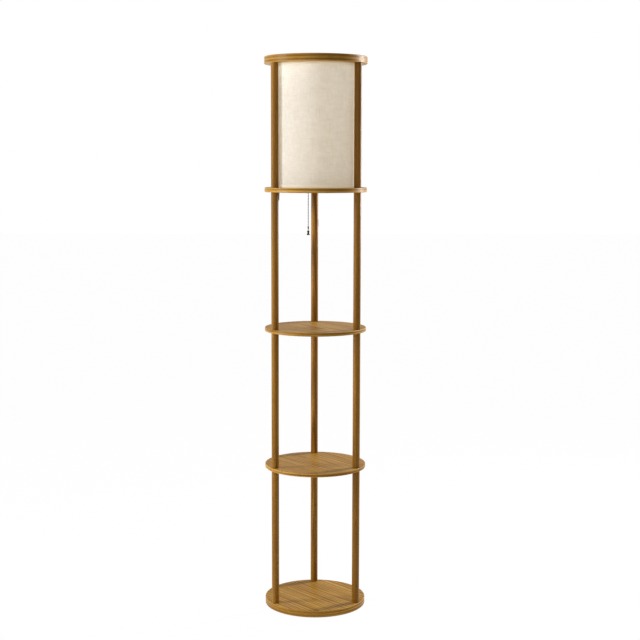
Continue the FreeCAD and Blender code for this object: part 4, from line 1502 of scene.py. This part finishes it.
@dataclass
class LampHolder:
    """Collar, bell-shaped cap, shell with rolled rings, and the insulating parts inside."""

    steps: int = 96
    wall: float = 0.8 * MM
    neck_radius: float = 7.5 * MM
    bore: float = 4.9 * MM
    rim_overlap: float = 3.0 * MM
    bell_lift: float = 2.6 * MM
    bead_height: float = 0.5 * MM
    bead_reach: float = 1.1 * MM
    bead_places: tuple[float, ...] = (0.1, 0.62, 0.7, 0.78)
    foot_height: float = 1.2 * MM
    curl_height: float = 2.2 * MM
    arm_hole: float = 2.7 * MM
    arm_cut: float = 8.0 * MM
    collar_fall: Point = (1.2 * MM, 0.8 * MM)
    collar_bulge: float = 0.3 * MM
    throat: float = 0.6 * MM
    throat_wall: float = 0.4 * MM
    rim_turn: float = 0.2 * MM
    rim_fall: Point = (0.4 * MM, 0.6 * MM)

    def collar(self) -> bpy.types.Object:
        """Turn the collar that the cap stands on.

        Returns:
            The collar.
        """
        room = Room.of("socket_collar")
        outer, high = room.radius, room.top
        inward, down = self.collar_fall
        profile = [
            (self.bore, room.bottom),
            (outer, room.bottom),
            *arc((outer, high - down), (outer - inward, high), self.collar_bulge, 3),
            (self.bore, high),
        ]
        return settle(turn("holder_collar", profile, self.steps))

    def cap(self) -> bpy.types.Object:
        """Spin the bell-shaped cap out of sheet.

        Returns:
            The cap.
        """
        room = Room.of("socket_cap")
        low, high, rim = room.bottom, room.top, room.radius
        shoulder = high - self.rim_overlap
        neck, wall = self.neck_radius, self.wall
        outside = [(neck, low + self.throat), (rim, shoulder)]
        inside = [(rim - wall, shoulder), (neck - wall, low + wall + self.throat_wall)]
        profile = [
            (self.bore, low),
            (neck - self.throat, low),
            *arc(*outside, self.bell_lift, 10),
            (rim, high),
            (rim - wall, high),
            *arc(*inside, -self.bell_lift, 10),
            (self.bore, low + wall),
        ]
        return settle(turn("holder_cap", profile, self.steps), 40.0)

    def ring_bead(self, radius: float, height: float) -> list[Point]:
        """Draw the section of a rolled ring in the outside of the shell.

        Args:
            radius: the shell's radius.
            height: the ring's height.

        Returns:
            The corners of the ring's section, upwards.
        """
        start = (radius, height - self.bead_reach)
        end = (radius, height + self.bead_reach)
        return arc(start, end, self.bead_height, 5)

    def shell(self) -> bpy.types.Object:
        """Draw the shell, with rolled rings, a curled upper rim and a hole for the guide's arm.

        Returns:
            The shell.
        """
        room = Room.of("socket_shell")
        low, high, wall = room.bottom, room.top, self.wall
        outer = room.radius - self.bead_height
        profile = [(outer - wall, low), (outer, low), (outer, low + self.foot_height)]
        for share in self.bead_places:
            profile += self.ring_bead(outer, low + share * (high - low))
        tip = (outer - self.rim_turn, high)
        profile += arc((outer, high - self.curl_height), tip, self.bead_height, 6)[:-1]
        inward, down = self.rim_fall
        profile += [(outer - inward, high), (outer - wall, high - down)]
        shell = turn("holder_shell", profile, self.steps)
        place = (-outer, 0.0, Room.of("chain_guide").top - ARM_DROP)
        cut(shell, rod("cutter", 32, self.arm_hole, self.arm_cut, place, level=True))
        return settle(shell, 40.0)

    def build(self) -> None:
        """Make and dress the holder."""
        fit(self.collar(), Body.LAMP, FINISHES.holder_brass, ["socket_collar"])
        fit(self.cap(), Body.LAMP, FINISHES.holder_brass, ["socket_cap"])
        fit(self.shell(), Body.LAMP, FINISHES.holder_brass, ["socket_shell"])
        dress("socket_sleeve", FINISHES.card)
        dress("socket_core", FINISHES.core)
        dress("thread_shell", FINISHES.aluminium)
        dress("centre_contact", FINISHES.holder_brass)
        for node in ("socket_nipple", "nipple_washer", "nipple_nut"):
            dress(node, FINISHES.zinc)


# ---------------------------------------------------------------- the pull switch


@dataclass
class PullSwitch:
    """The chain's guide, the ball chain with its coupling, the knob and the eyelet."""

    bead_radius: float = 1.6 * MM
    wire_radius: float = 0.45 * MM
    pitch: float = 4.4 * MM
    coupling_wall: float = 0.25 * MM
    guide_place: Point = (-21.0 * MM, 0.0)
    guide_radius: float = 3.5 * MM
    guide_bore: float = 2.3 * MM
    guide_mouth: float = 4.5 * MM
    guide_roof: float = 1.2 * MM
    guide_throat: float = 2.0 * MM
    mouth_edge: float = 0.6 * MM
    mouth_bulges: Point = (0.35 * MM, 0.3 * MM)
    arm_radius: float = 2.4 * MM
    arm_inset: float = 0.4 * MM
    arm_edge: float = 0.2 * MM
    wire_gap: float = 0.12 * MM
    bead_dimple: float = 0.1 * MM
    bead_rows: int = 10
    link_inset: float = 0.2 * MM
    coupling_lip: float = 0.5 * MM
    coupling_curl: Point = (0.3 * MM, 0.15 * MM)
    coupling_slot: Point = (1.3 * MM, 3.0 * MM)
    slot_share: float = 0.62
    coupling_gap: float = 0.4 * MM
    eyelet_bore: float = 3.0 * MM
    eyelet_barrel: float = 3.8 * MM
    eyelet_lip: float = 0.6 * MM
    lip_bulge: float = 0.18 * MM
    flange_edge: float = 0.5 * MM
    flange_bulge: float = 0.25 * MM

    def guide(self) -> bpy.types.Object:
        """Make the bell-mouthed guide and the arm that carries it.

        Returns:
            The guide with its arm.
        """
        room = Room.of("chain_guide")
        low, high = room.bottom, room.top
        outer, bore, mouth = self.guide_radius, self.guide_bore, self.guide_mouth
        throat = low + self.guide_throat
        roof = high - self.guide_roof
        within, without = self.mouth_bulges
        profile = [
            (0.0, roof),
            (bore, roof),
            *arc((bore, throat), (mouth - self.mouth_edge, low), within, 4),
            *arc((mouth, low), (outer, throat), -without, 4),
            *quarter((outer, high - outer), (0.0, high), outer, 8),
        ]
        bell = turn("guide_bell", profile, 48, self.guide_place, closed=False)
        start, end = self.guide_place[0] + bore + self.arm_inset, room.high.x
        middle = ((start + end) / 2, 0.0, high - ARM_DROP)
        arm = rod("guide_arm", 36, self.arm_radius, end - start, middle, level=True)
        ease(arm, self.arm_edge)
        return settle(join([settle(bell, 50.0), settle(arm)], "switch_chain_guide"), 45.0)

    def bead(self, centre: Point, height: float) -> bpy.types.Object:
        """Turn one bead, with a small hollow where the wire enters at each end.

        Args:
            centre: where it hangs.
            height: its middle's height.

        Returns:
            The bead.
        """
        radius = self.bead_radius
        lip = math.asin((self.wire_radius + self.wire_gap) / radius)
        profile = [(0.0, height - radius * math.cos(lip) + self.bead_dimple)]
        for index in range(self.bead_rows + 1):
            angle = lip + (math.pi - 2 * lip) * index / self.bead_rows
            profile.append((radius * math.sin(angle), height - radius * math.cos(angle)))
        profile.append((0.0, height + radius * math.cos(lip) - self.bead_dimple))
        return settle(turn("bead", profile, 20, centre, closed=False), 50.0)

    def link(self, centre: Point, low: float, high: float) -> bpy.types.Object:
        """Turn one length of the wire between beads."""
        profile = [(0.0, low), (self.wire_radius, low), (self.wire_radius, high), (0.0, high)]
        return settle(turn("link", profile, 10, centre, closed=False), 50.0)

    def strand(self, name: str, node: str, heights: Sequence[float]) -> bpy.types.Object:
        """String beads on a wire over the length of a node.

        Args:
            name: the strand's name.
            node: the strand's node.
            heights: where the beads sit.

        Returns:
            The strand.
        """
        room = Room.of(node)
        first = self.bead(room.centre, heights[0])
        pieces = [first]
        for height in heights[1:]:
            pieces.append(copy_of(first, "bead", (0.0, 0.0, height - heights[0])))
        ends = (room.bottom + self.link_inset, room.top - self.link_inset)
        pieces.append(self.link(room.centre, *ends))
        return join(pieces, name)

    def coupling(self) -> bpy.types.Object:
        """Roll the coupling that joins the knob's chain to the switch's, with its long slot.

        Returns:
            The coupling.
        """
        room = Room.of("chain_coupling")
        outer, inner = room.radius, room.radius - self.coupling_wall
        lip = self.coupling_lip
        fall, curl = self.coupling_curl
        profile = [
            (inner - curl, room.bottom),
            (outer - fall, room.bottom),
            (outer, room.bottom + lip),
            (outer, room.top - lip),
            (outer - fall, room.top),
            (inner - curl, room.top),
            (inner, room.top - lip),
            (inner, room.bottom + lip),
        ]
        tube = turn("coupling", profile, 32, room.centre)
        middle = (room.centre[0], room.centre[1] - outer, (room.bottom + room.top) / 2)
        slot = (*self.coupling_slot, room.height * self.slot_share)
        deselect()
        bpy.ops.mesh.primitive_cube_add(size=1.0, location=middle, scale=slot)
        cut(tube, named("cutter"))
        return settle(tube, 40.0)

    def knob(self) -> bpy.types.Object:
        """Turn the bell-shaped knob: crown, neck rings, waist and flared skirt.

        Returns:
            The knob.
        """
        room = Room.of("chain_knob")
        low, radius = room.bottom, room.radius
        head, waist, hole = 3.6 * MM, 2.7 * MM, 0.55 * MM
        cavity, flat = 2.0 * MM, 2.0 * MM
        skirt = low + 2.1 * MM
        neck = low + 6.8 * MM
        brow = low + 9.4 * MM
        crown = low + 10.4 * MM
        roof = low + 7.0 * MM
        profile = [
            (cavity, low + 0.3 * MM),
            (cavity + 0.4 * MM, low),
            *arc((radius - 0.6 * MM, low), (radius, low + 0.65 * MM), 0.15 * MM, 3),
            (radius, skirt - 0.4 * MM),
            *arc((radius - 0.3 * MM, skirt), (waist, neck), -0.6 * MM, 7),
            (waist + 0.5 * MM, neck + 0.5 * MM),
            *arc((waist + 0.1 * MM, neck + 1.0 * MM), (head, brow), -0.2 * MM, 3),
            *arc((head, crown), (flat, room.top), 0.55 * MM, 5),
            (hole, room.top),
            (hole, roof),
            (cavity, roof),
        ]
        return settle(turn("pull_knob", profile, 48, room.centre), 35.0)

    def eyelet(self) -> bpy.types.Object:
        """Roll the eyelet that lines the chain's hole.

        Returns:
            The eyelet.
        """
        room = Room.of("chain_eyelet")
        board = Room.of("shade_floor_board")
        low, high, flange = room.bottom, room.top, room.radius
        bore, barrel, lip = self.eyelet_bore, self.eyelet_barrel, self.eyelet_lip
        brim = flange - self.flange_edge
        profile = [
            *arc((bore, low + lip), (bore + lip, low), -self.lip_bulge, 3)[1:],
            *arc((brim, low), (flange, board.bottom), self.flange_bulge, 3),
            (barrel, board.bottom),
            (barrel, board.top),
            *arc((flange, board.top), (brim, high), self.flange_bulge, 3),
            *arc((bore + lip, high), (bore, high - lip), -self.lip_bulge, 3),
            (bore, low + lip),
        ]
        return settle(turn("floor_eyelet", profile, 48, room.centre), 40.0)

    def build(self) -> None:
        """Make and dress the switch and its chain."""
        fit(self.guide(), Body.LAMP, FINISHES.holder_brass, ["chain_guide"])
        dress("switch_rotor", FINISHES.core)
        dress("switch_axle", FINISHES.zinc)
        pivot = Room.of("chain_pivot_bead")
        pivot_height = (pivot.bottom + pivot.top) / 2
        room_above = Room.of("chain_upper").top - pivot_height
        knob_top = Room.of("chain_knob").top
        room_below = pivot_height - knob_top - self.bead_radius - self.coupling_gap
        above = [
            pivot_height + step * self.pitch for step in range(1, int(room_above / self.pitch) + 1)
        ]
        below = [
            pivot_height - step * self.pitch for step in range(1, int(room_below / self.pitch) + 1)
        ]
        below.append(Room.of("chain_lower").bottom + self.bead_radius)
        run = self.strand("chain_in_holder", "chain_upper", above)
        fit(run, Body.CHAIN_RUN, FINISHES.nickel, ["chain_upper"])
        link = self.bead(pivot.centre, pivot_height)
        link.name = "chain_turning_bead"
        fit(link, Body.CHAIN_LINK, FINISHES.nickel, ["chain_pivot_bead"])
        tail = self.strand("chain_below_floor", "chain_lower", below)
        fit(tail, Body.CHAIN_TAIL, FINISHES.nickel, ["chain_lower"])
        coupling = self.coupling()
        coupling.name = "chain_coupling_slotted"
        fit(coupling, Body.CHAIN_TAIL, FINISHES.nickel, ["chain_coupling"])
        fit(self.knob(), Body.CHAIN_TAIL, FINISHES.bronze, ["chain_knob"])
        fit(self.eyelet(), Body.LAMP, FINISHES.holder_brass, ["chain_eyelet"])


# ---------------------------------------------------------------- the bulb


@dataclass
class Bulb:
    """The bulb: glass, screw cap with a real thread, black insulator and solder tip."""

    steps: int = 72
    thread_pitch: float = 3.63 * MM
    thread_depth: float = 0.7 * MM
    thread_sides: int = 10
    foot_height: float = 2.6 * MM
    foot_inset: float = 2.6 * MM
    foot_overlap: float = 0.3 * MM
    collar_height: float = 1.6 * MM
    collar_brim: float = 1.0 * MM
    collar_edge: float = 0.2 * MM
    thread_end: float = 1.37 * MM
    glass: float = 1.0 * MM
    neck: float = 13.6 * MM
    seat: float = 6.2 * MM
    hollow: float = -2.9 * MM
    join_angle: float = -28.0
    ball_steps: int = 26
    glass_steps: int = 96
    tip_rim: Point = (0.2 * MM, 0.3 * MM)
    tip_bulge: float = 0.5 * MM

    def thread(self, root: float, low: float, high: float) -> bpy.types.Object:
        """Roll the thread as a helix, and trim it at both ends.

        Args:
            root: the radius at the bottom of the thread.
            low: where it starts.
            high: where it ends.

        Returns:
            The thread, closed at its ends.
        """
        pitch, sides = self.thread_pitch, self.thread_sides
        radii = [
            root + self.thread_depth * (1 - math.cos(FULL_TURN * index / sides)) / 2
            for index in range(sides + 1)
        ]
        moves = [(there - here, pitch / sides) for here, there in zip(radii, radii[1:])]
        thread = trace("thread", (root, 0.0, low - pitch), moves)
        choose(thread)
        bpy.ops.object.transform_apply(location=True, rotation=True, scale=True)
        modify(
            thread,
            "SCREW",
            angle=FULL_TURN,
            screw_offset=pitch,
            iterations=math.ceil((high + self.thread_end - low) / pitch) + 1,
            steps=self.steps,
            render_steps=self.steps,
            use_merge_vertices=True,
            merge_threshold=SPECK,
        )
        with editing(thread):
            for height, clear_upper in ((low, False), (high, True)):
                bpy.ops.mesh.select_all(action="SELECT")
                bpy.ops.mesh.bisect(
                    plane_co=(0, 0, height),
                    plane_no=(0, 0, 1),
                    use_fill=True,
                    clear_inner=not clear_upper,
                    clear_outer=clear_upper,
                    threshold=SPECK / 2,
                )
            bpy.ops.mesh.select_all(action="SELECT")
            bpy.ops.mesh.remove_doubles(threshold=SPECK)
            bpy.ops.mesh.select_all(action="SELECT")
            bpy.ops.mesh.normals_make_consistent(inside=False)
        return settle(thread, 60.0)

    def screw_cap(self) -> bpy.types.Object:
        """Make the cap: a cone at its foot, the thread, and a collar under the glass.

        Returns:
            The cap.
        """
        room = Room.of("bulb_cap")
        low, high, outer = room.bottom, room.top, room.radius
        root = outer - self.thread_depth
        shoulder = low + self.foot_height
        brim = high - self.collar_height
        foot_profile = [
            (0.0, low),
            (outer - self.foot_inset, low),
            (root, shoulder),
            (root, shoulder + self.foot_overlap),
            (0.0, shoulder + self.foot_overlap),
        ]
        collar_profile = [
            (0.0, brim),
            (root, brim),
            (outer, high - self.collar_brim),
            (outer, high - self.collar_edge),
            (outer - self.collar_edge, high),
            (0.0, high),
        ]
        thread = self.thread(root, shoulder, high - self.thread_end)
        foot = settle(turn("cap_foot", foot_profile, self.steps, closed=False), 40.0)
        collar = settle(turn("cap_collar", collar_profile, self.steps, closed=False), 40.0)
        return join([thread, foot, collar], "bulb_screw_cap")

    def glass_side(self, offset: float) -> list[Point]:
        """Draw one side of the glass: neck, hollow shoulder and ball.

        Args:
            offset: how far the side lies inside the outer one.

        Returns:
            The side's corners, upwards.
        """
        room = Room.of("bulb_envelope")
        radius = room.radius - offset
        centre = room.top - room.radius
        join_angle = math.radians(self.join_angle)
        seat = (self.neck - offset, room.bottom + self.seat)
        meet = (radius * math.cos(join_angle), centre + radius * math.sin(join_angle))
        line = [(self.neck - offset, room.bottom), *arc(seat, meet, self.hollow, 9)]
        for index in range(1, self.ball_steps):
            angle = join_angle + (math.pi / 2 - join_angle) * index / self.ball_steps
            line.append((radius * math.cos(angle), centre + radius * math.sin(angle)))
        line.append((0.0, centre + radius))
        return line

    def envelope(self) -> bpy.types.Object:
        """Blow the glass, as a wall of even thickness.

        Returns:
            The glass.
        """
        profile = [*reversed(self.glass_side(self.glass)), *self.glass_side(0.0)]
        return settle(turn("bulb_glass", profile, self.glass_steps, closed=False), 60.0)

    def tip(self) -> bpy.types.Object:
        """Drop the solder of the tip.

        Returns:
            The tip.
        """
        room = Room.of("bulb_tip")
        low, high, radius = room.bottom, room.top, room.radius
        inward, down = self.tip_rim
        profile = [
            *arc((0.0, low), (radius, high - down), self.tip_bulge, 7),
            (radius - inward, high),
            (0.0, high),
        ]
        return settle(turn("bulb_solder_tip", profile, 40, closed=False), 50.0)

    def build(self) -> None:
        """Make and dress the bulb."""
        fit(self.tip(), Body.BULB_FOOT, FINISHES.solder, ["bulb_tip"])
        dress("bulb_insulator", FINISHES.black_glass)
        fit(self.screw_cap(), Body.BULB, FINISHES.aluminium, ["bulb_cap"])
        fit(self.envelope(), Body.BULB, FINISHES.bulb_glass, ["bulb_envelope"])


# ---------------------------------------------------------------- cord outlet and guide


@dataclass
class CordFittings:
    """The ribbed spout in the shade floor and the small sleeve on the back pole."""

    rib_count: int = 5
    groove_depth: float = 0.5 * MM
    groove_reach: Point = (0.9 * MM, 0.6 * MM)
    tip_edge: float = 0.3 * MM
    edge: float = 0.4 * MM
    bore: float = 3.2 * MM
    barrel: float = 4.3 * MM
    tip: float = 3.9 * MM
    root: float = 4.6 * MM
    root_height: float = 4.8 * MM
    flange: float = 6.0 * MM

    def spout(self) -> bpy.types.Object:
        """Mould the outlet spout, with grooves towards its tip.

        Returns:
            The spout.
        """
        room = Room.of("cord_bushing")
        board = Room.of("shade_floor_board")
        bore, barrel, flange = self.bore, self.barrel, self.flange
        tip, root = self.tip, self.root
        low = room.bottom
        shoulder = board.bottom - self.root_height
        profile = [
            (bore, low + self.edge),
            (bore + self.tip_edge, low),
            (tip - self.tip_edge, low),
            (tip, low + self.tip_edge),
        ]
        wide, narrow = self.groove_reach
        for index in range(1, self.rib_count + 1):
            share = index / (self.rib_count + 1)
            height = low + share * (shoulder - low)
            radius = tip + share * (root - tip)
            profile += [
                (radius, height - wide),
                (radius - self.groove_depth, height - narrow),
                (radius - self.groove_depth, height + narrow),
                (radius, height + wide),
            ]
        profile += [
            (root, shoulder),
            (root, board.bottom),
            (barrel, board.bottom),
            (barrel, board.top),
            (flange, board.top),
            (flange, room.top - self.edge),
            (flange - self.edge, room.top),
            (bore + self.edge, room.top),
            (bore, room.top - self.edge),
        ]
        return settle(turn("outlet_spout", profile, 48, room.centre), 35.0)

    def build(self) -> None:
        """Make and dress the fittings."""
        fit(self.spout(), Body.LAMP, FINISHES.moulding, ["cord_bushing"])
        dress("cord_clip", FINISHES.moulding)


# ---------------------------------------------------------------- the studio


@dataclass(frozen=True)
class SoftBox:
    """A rectangular lamp that faces the shelf lamp."""

    name: str
    place: Place
    width: float
    height: float
    power: float
    colour: Colour = (1.0, 1.0, 1.0)
    aim: float = 1.0

    def light(self) -> None:
        """Hang the lamp and aim it at the axis."""
        deselect()
        bpy.ops.object.light_add(type="AREA", location=self.place)
        lamp = bpy.context.object
        lamp.name = self.name
        lamp.data.shape = "RECTANGLE"
        lamp.data.size = self.width
        lamp.data.size_y = self.height
        lamp.data.energy = self.power
        lamp.data.color = self.colour
        towards = Vector((0.0, 0.0, self.aim)) - Vector(self.place)
        lamp.rotation_euler = towards.to_track_quat("-Z", "Y").to_euler()


@dataclass
class Studio:
    """Floor, background, lamps and camera."""

    camera_place: Place = (-0.0822, -3.8165, 1.2962)
    pitch: float = 6.82
    roll: float = 0.093
    sensor: float = 36.0
    lens: float = 74.86
    shift: float = 0.0071
    floor_size: float = 40.0
    floor_white: float = 0.985
    paper: Colour = (0.9, 0.9, 0.9)
    white: Colour = (1.0, 1.0, 1.0)
    ambient: float = 0.18

    def boxes(self) -> list[SoftBox]:
        """Say where the lamps hang: one behind on the right, one on the left and one in front.

        Returns:
            The lamps.
        """
        return [
            SoftBox("right_box", (1.93, 1.06, 1.8), 0.42, 1.6, 78.0, aim=1.2),
            SoftBox("left_box", (-2.3, -0.45, 1.4), 0.6, 2.4, 65.0, (0.94, 0.97, 1.0), aim=1.0),
            SoftBox("front_box", (-1.2, -3.2, 1.9), 2.2, 2.2, 25.0, (1.0, 0.98, 0.95), aim=0.9),
        ]

    def seen_rays(self, tree: bpy.types.NodeTree) -> bpy.types.NodeSocket:
        """Tell the rays that show the background: straight ones, and those in glass and in polish.

        Args:
            tree: the node tree of the floor or of the world.

        Returns:
            1 for such a ray, else 0.
        """
        path = tree.nodes.new("ShaderNodeLightPath").outputs
        seen = path["Is Camera Ray"]
        for kind in ("Is Transmission Ray", "Is Glossy Ray"):
            either = tree.nodes.new("ShaderNodeMath")
            either.operation = "MAXIMUM"
            tree.links.new(seen, either.inputs[0])
            tree.links.new(path[kind], either.inputs[1])
            seen = either.outputs[0]
        return seen

    def floor(self) -> None:
        """Lay the pale floor, which keeps a faint shadow and is clear when seen from below."""
        deselect()
        bpy.ops.mesh.primitive_plane_add(size=self.floor_size, location=(0.0, 0.0, 0.0))
        floor = named("studio_floor")
        recipe = Recipe("studio_paper")
        paper = recipe.add("BsdfDiffuse", {"Color": (*self.paper, 1.0)})
        white = recipe.add("Emission", {"Color": (*self.white, 1.0), "Strength": 1.0})
        share = recipe.reckon("MULTIPLY", self.seen_rays(recipe.tree), self.floor_white)
        mixed = recipe.add("MixShader", {0: share, 1: paper.outputs[0], 2: white.outputs[0]})
        below = recipe.add("NewGeometry").outputs["Backfacing"]
        clear = recipe.add("BsdfTransparent")
        either = recipe.add("MixShader", {0: below, 1: mixed.outputs[0], 2: clear.outputs[0]})
        floor.data.materials.append(recipe.show(either))

    def world(self) -> None:
        """Surround the scene with even light that is white to the eye."""
        world = bpy.data.worlds.new("studio_world")
        bpy.context.scene.world = world
        world.use_nodes = True
        tree = world.node_tree
        background = tree.nodes["Background"]
        level = tree.nodes.new("ShaderNodeMapRange")
        level.inputs[3].default_value = self.ambient
        level.inputs[4].default_value = 1.0
        tree.links.new(self.seen_rays(tree), level.inputs[0])
        tree.links.new(level.outputs[0], background.inputs["Strength"])
        background.inputs["Color"].default_value = (*self.white, 1.0)

    def camera(self) -> None:
        """Set up the camera where the photograph was taken from."""
        data = bpy.data.cameras.new("camera")
        camera = bpy.data.objects.new("camera", data)
        bpy.context.scene.collection.objects.link(camera)
        place = Vector(self.camera_place)
        ahead = Vector((-place.x, -place.y, 0.0)).normalized()
        drop = math.radians(self.pitch)
        ahead = ahead * math.cos(drop) + Vector((0.0, 0.0, -math.sin(drop)))
        tilt = Matrix.Rotation(math.radians(self.roll), 3, "Z").to_quaternion()
        aim = ahead.to_track_quat("-Z", "Y") @ tilt
        camera.location = place
        camera.rotation_euler = aim.to_euler()
        data.lens = self.lens
        data.sensor_width = self.sensor
        data.shift_x = self.shift
        bpy.context.scene.camera = camera

    def build(self) -> None:
        """Set up everything round the lamp."""
        for box in self.boxes():
            box.light()
        self.floor()
        self.world()
        self.camera()
        bpy.context.scene.view_settings.view_transform = "Standard"


def main() -> None:
    """Build the lamp piece by piece, then the studio."""
    logging.basicConfig(level=logging.INFO, format="%(message)s")
    deselect()
    FINISHES.make()
    parts = (
        RoundBoards(),
        TopRing(),
        Poles(),
        BaseFittings(),
        DrumShade(),
        LampHolder(),
        PullSwitch(),
        Bulb(),
        CordFittings(),
    )
    for part in parts:
        LOG.info("building %s", type(part).__name__)
        part.build()
    Studio().build()


if __name__ == "__main__":
    main()
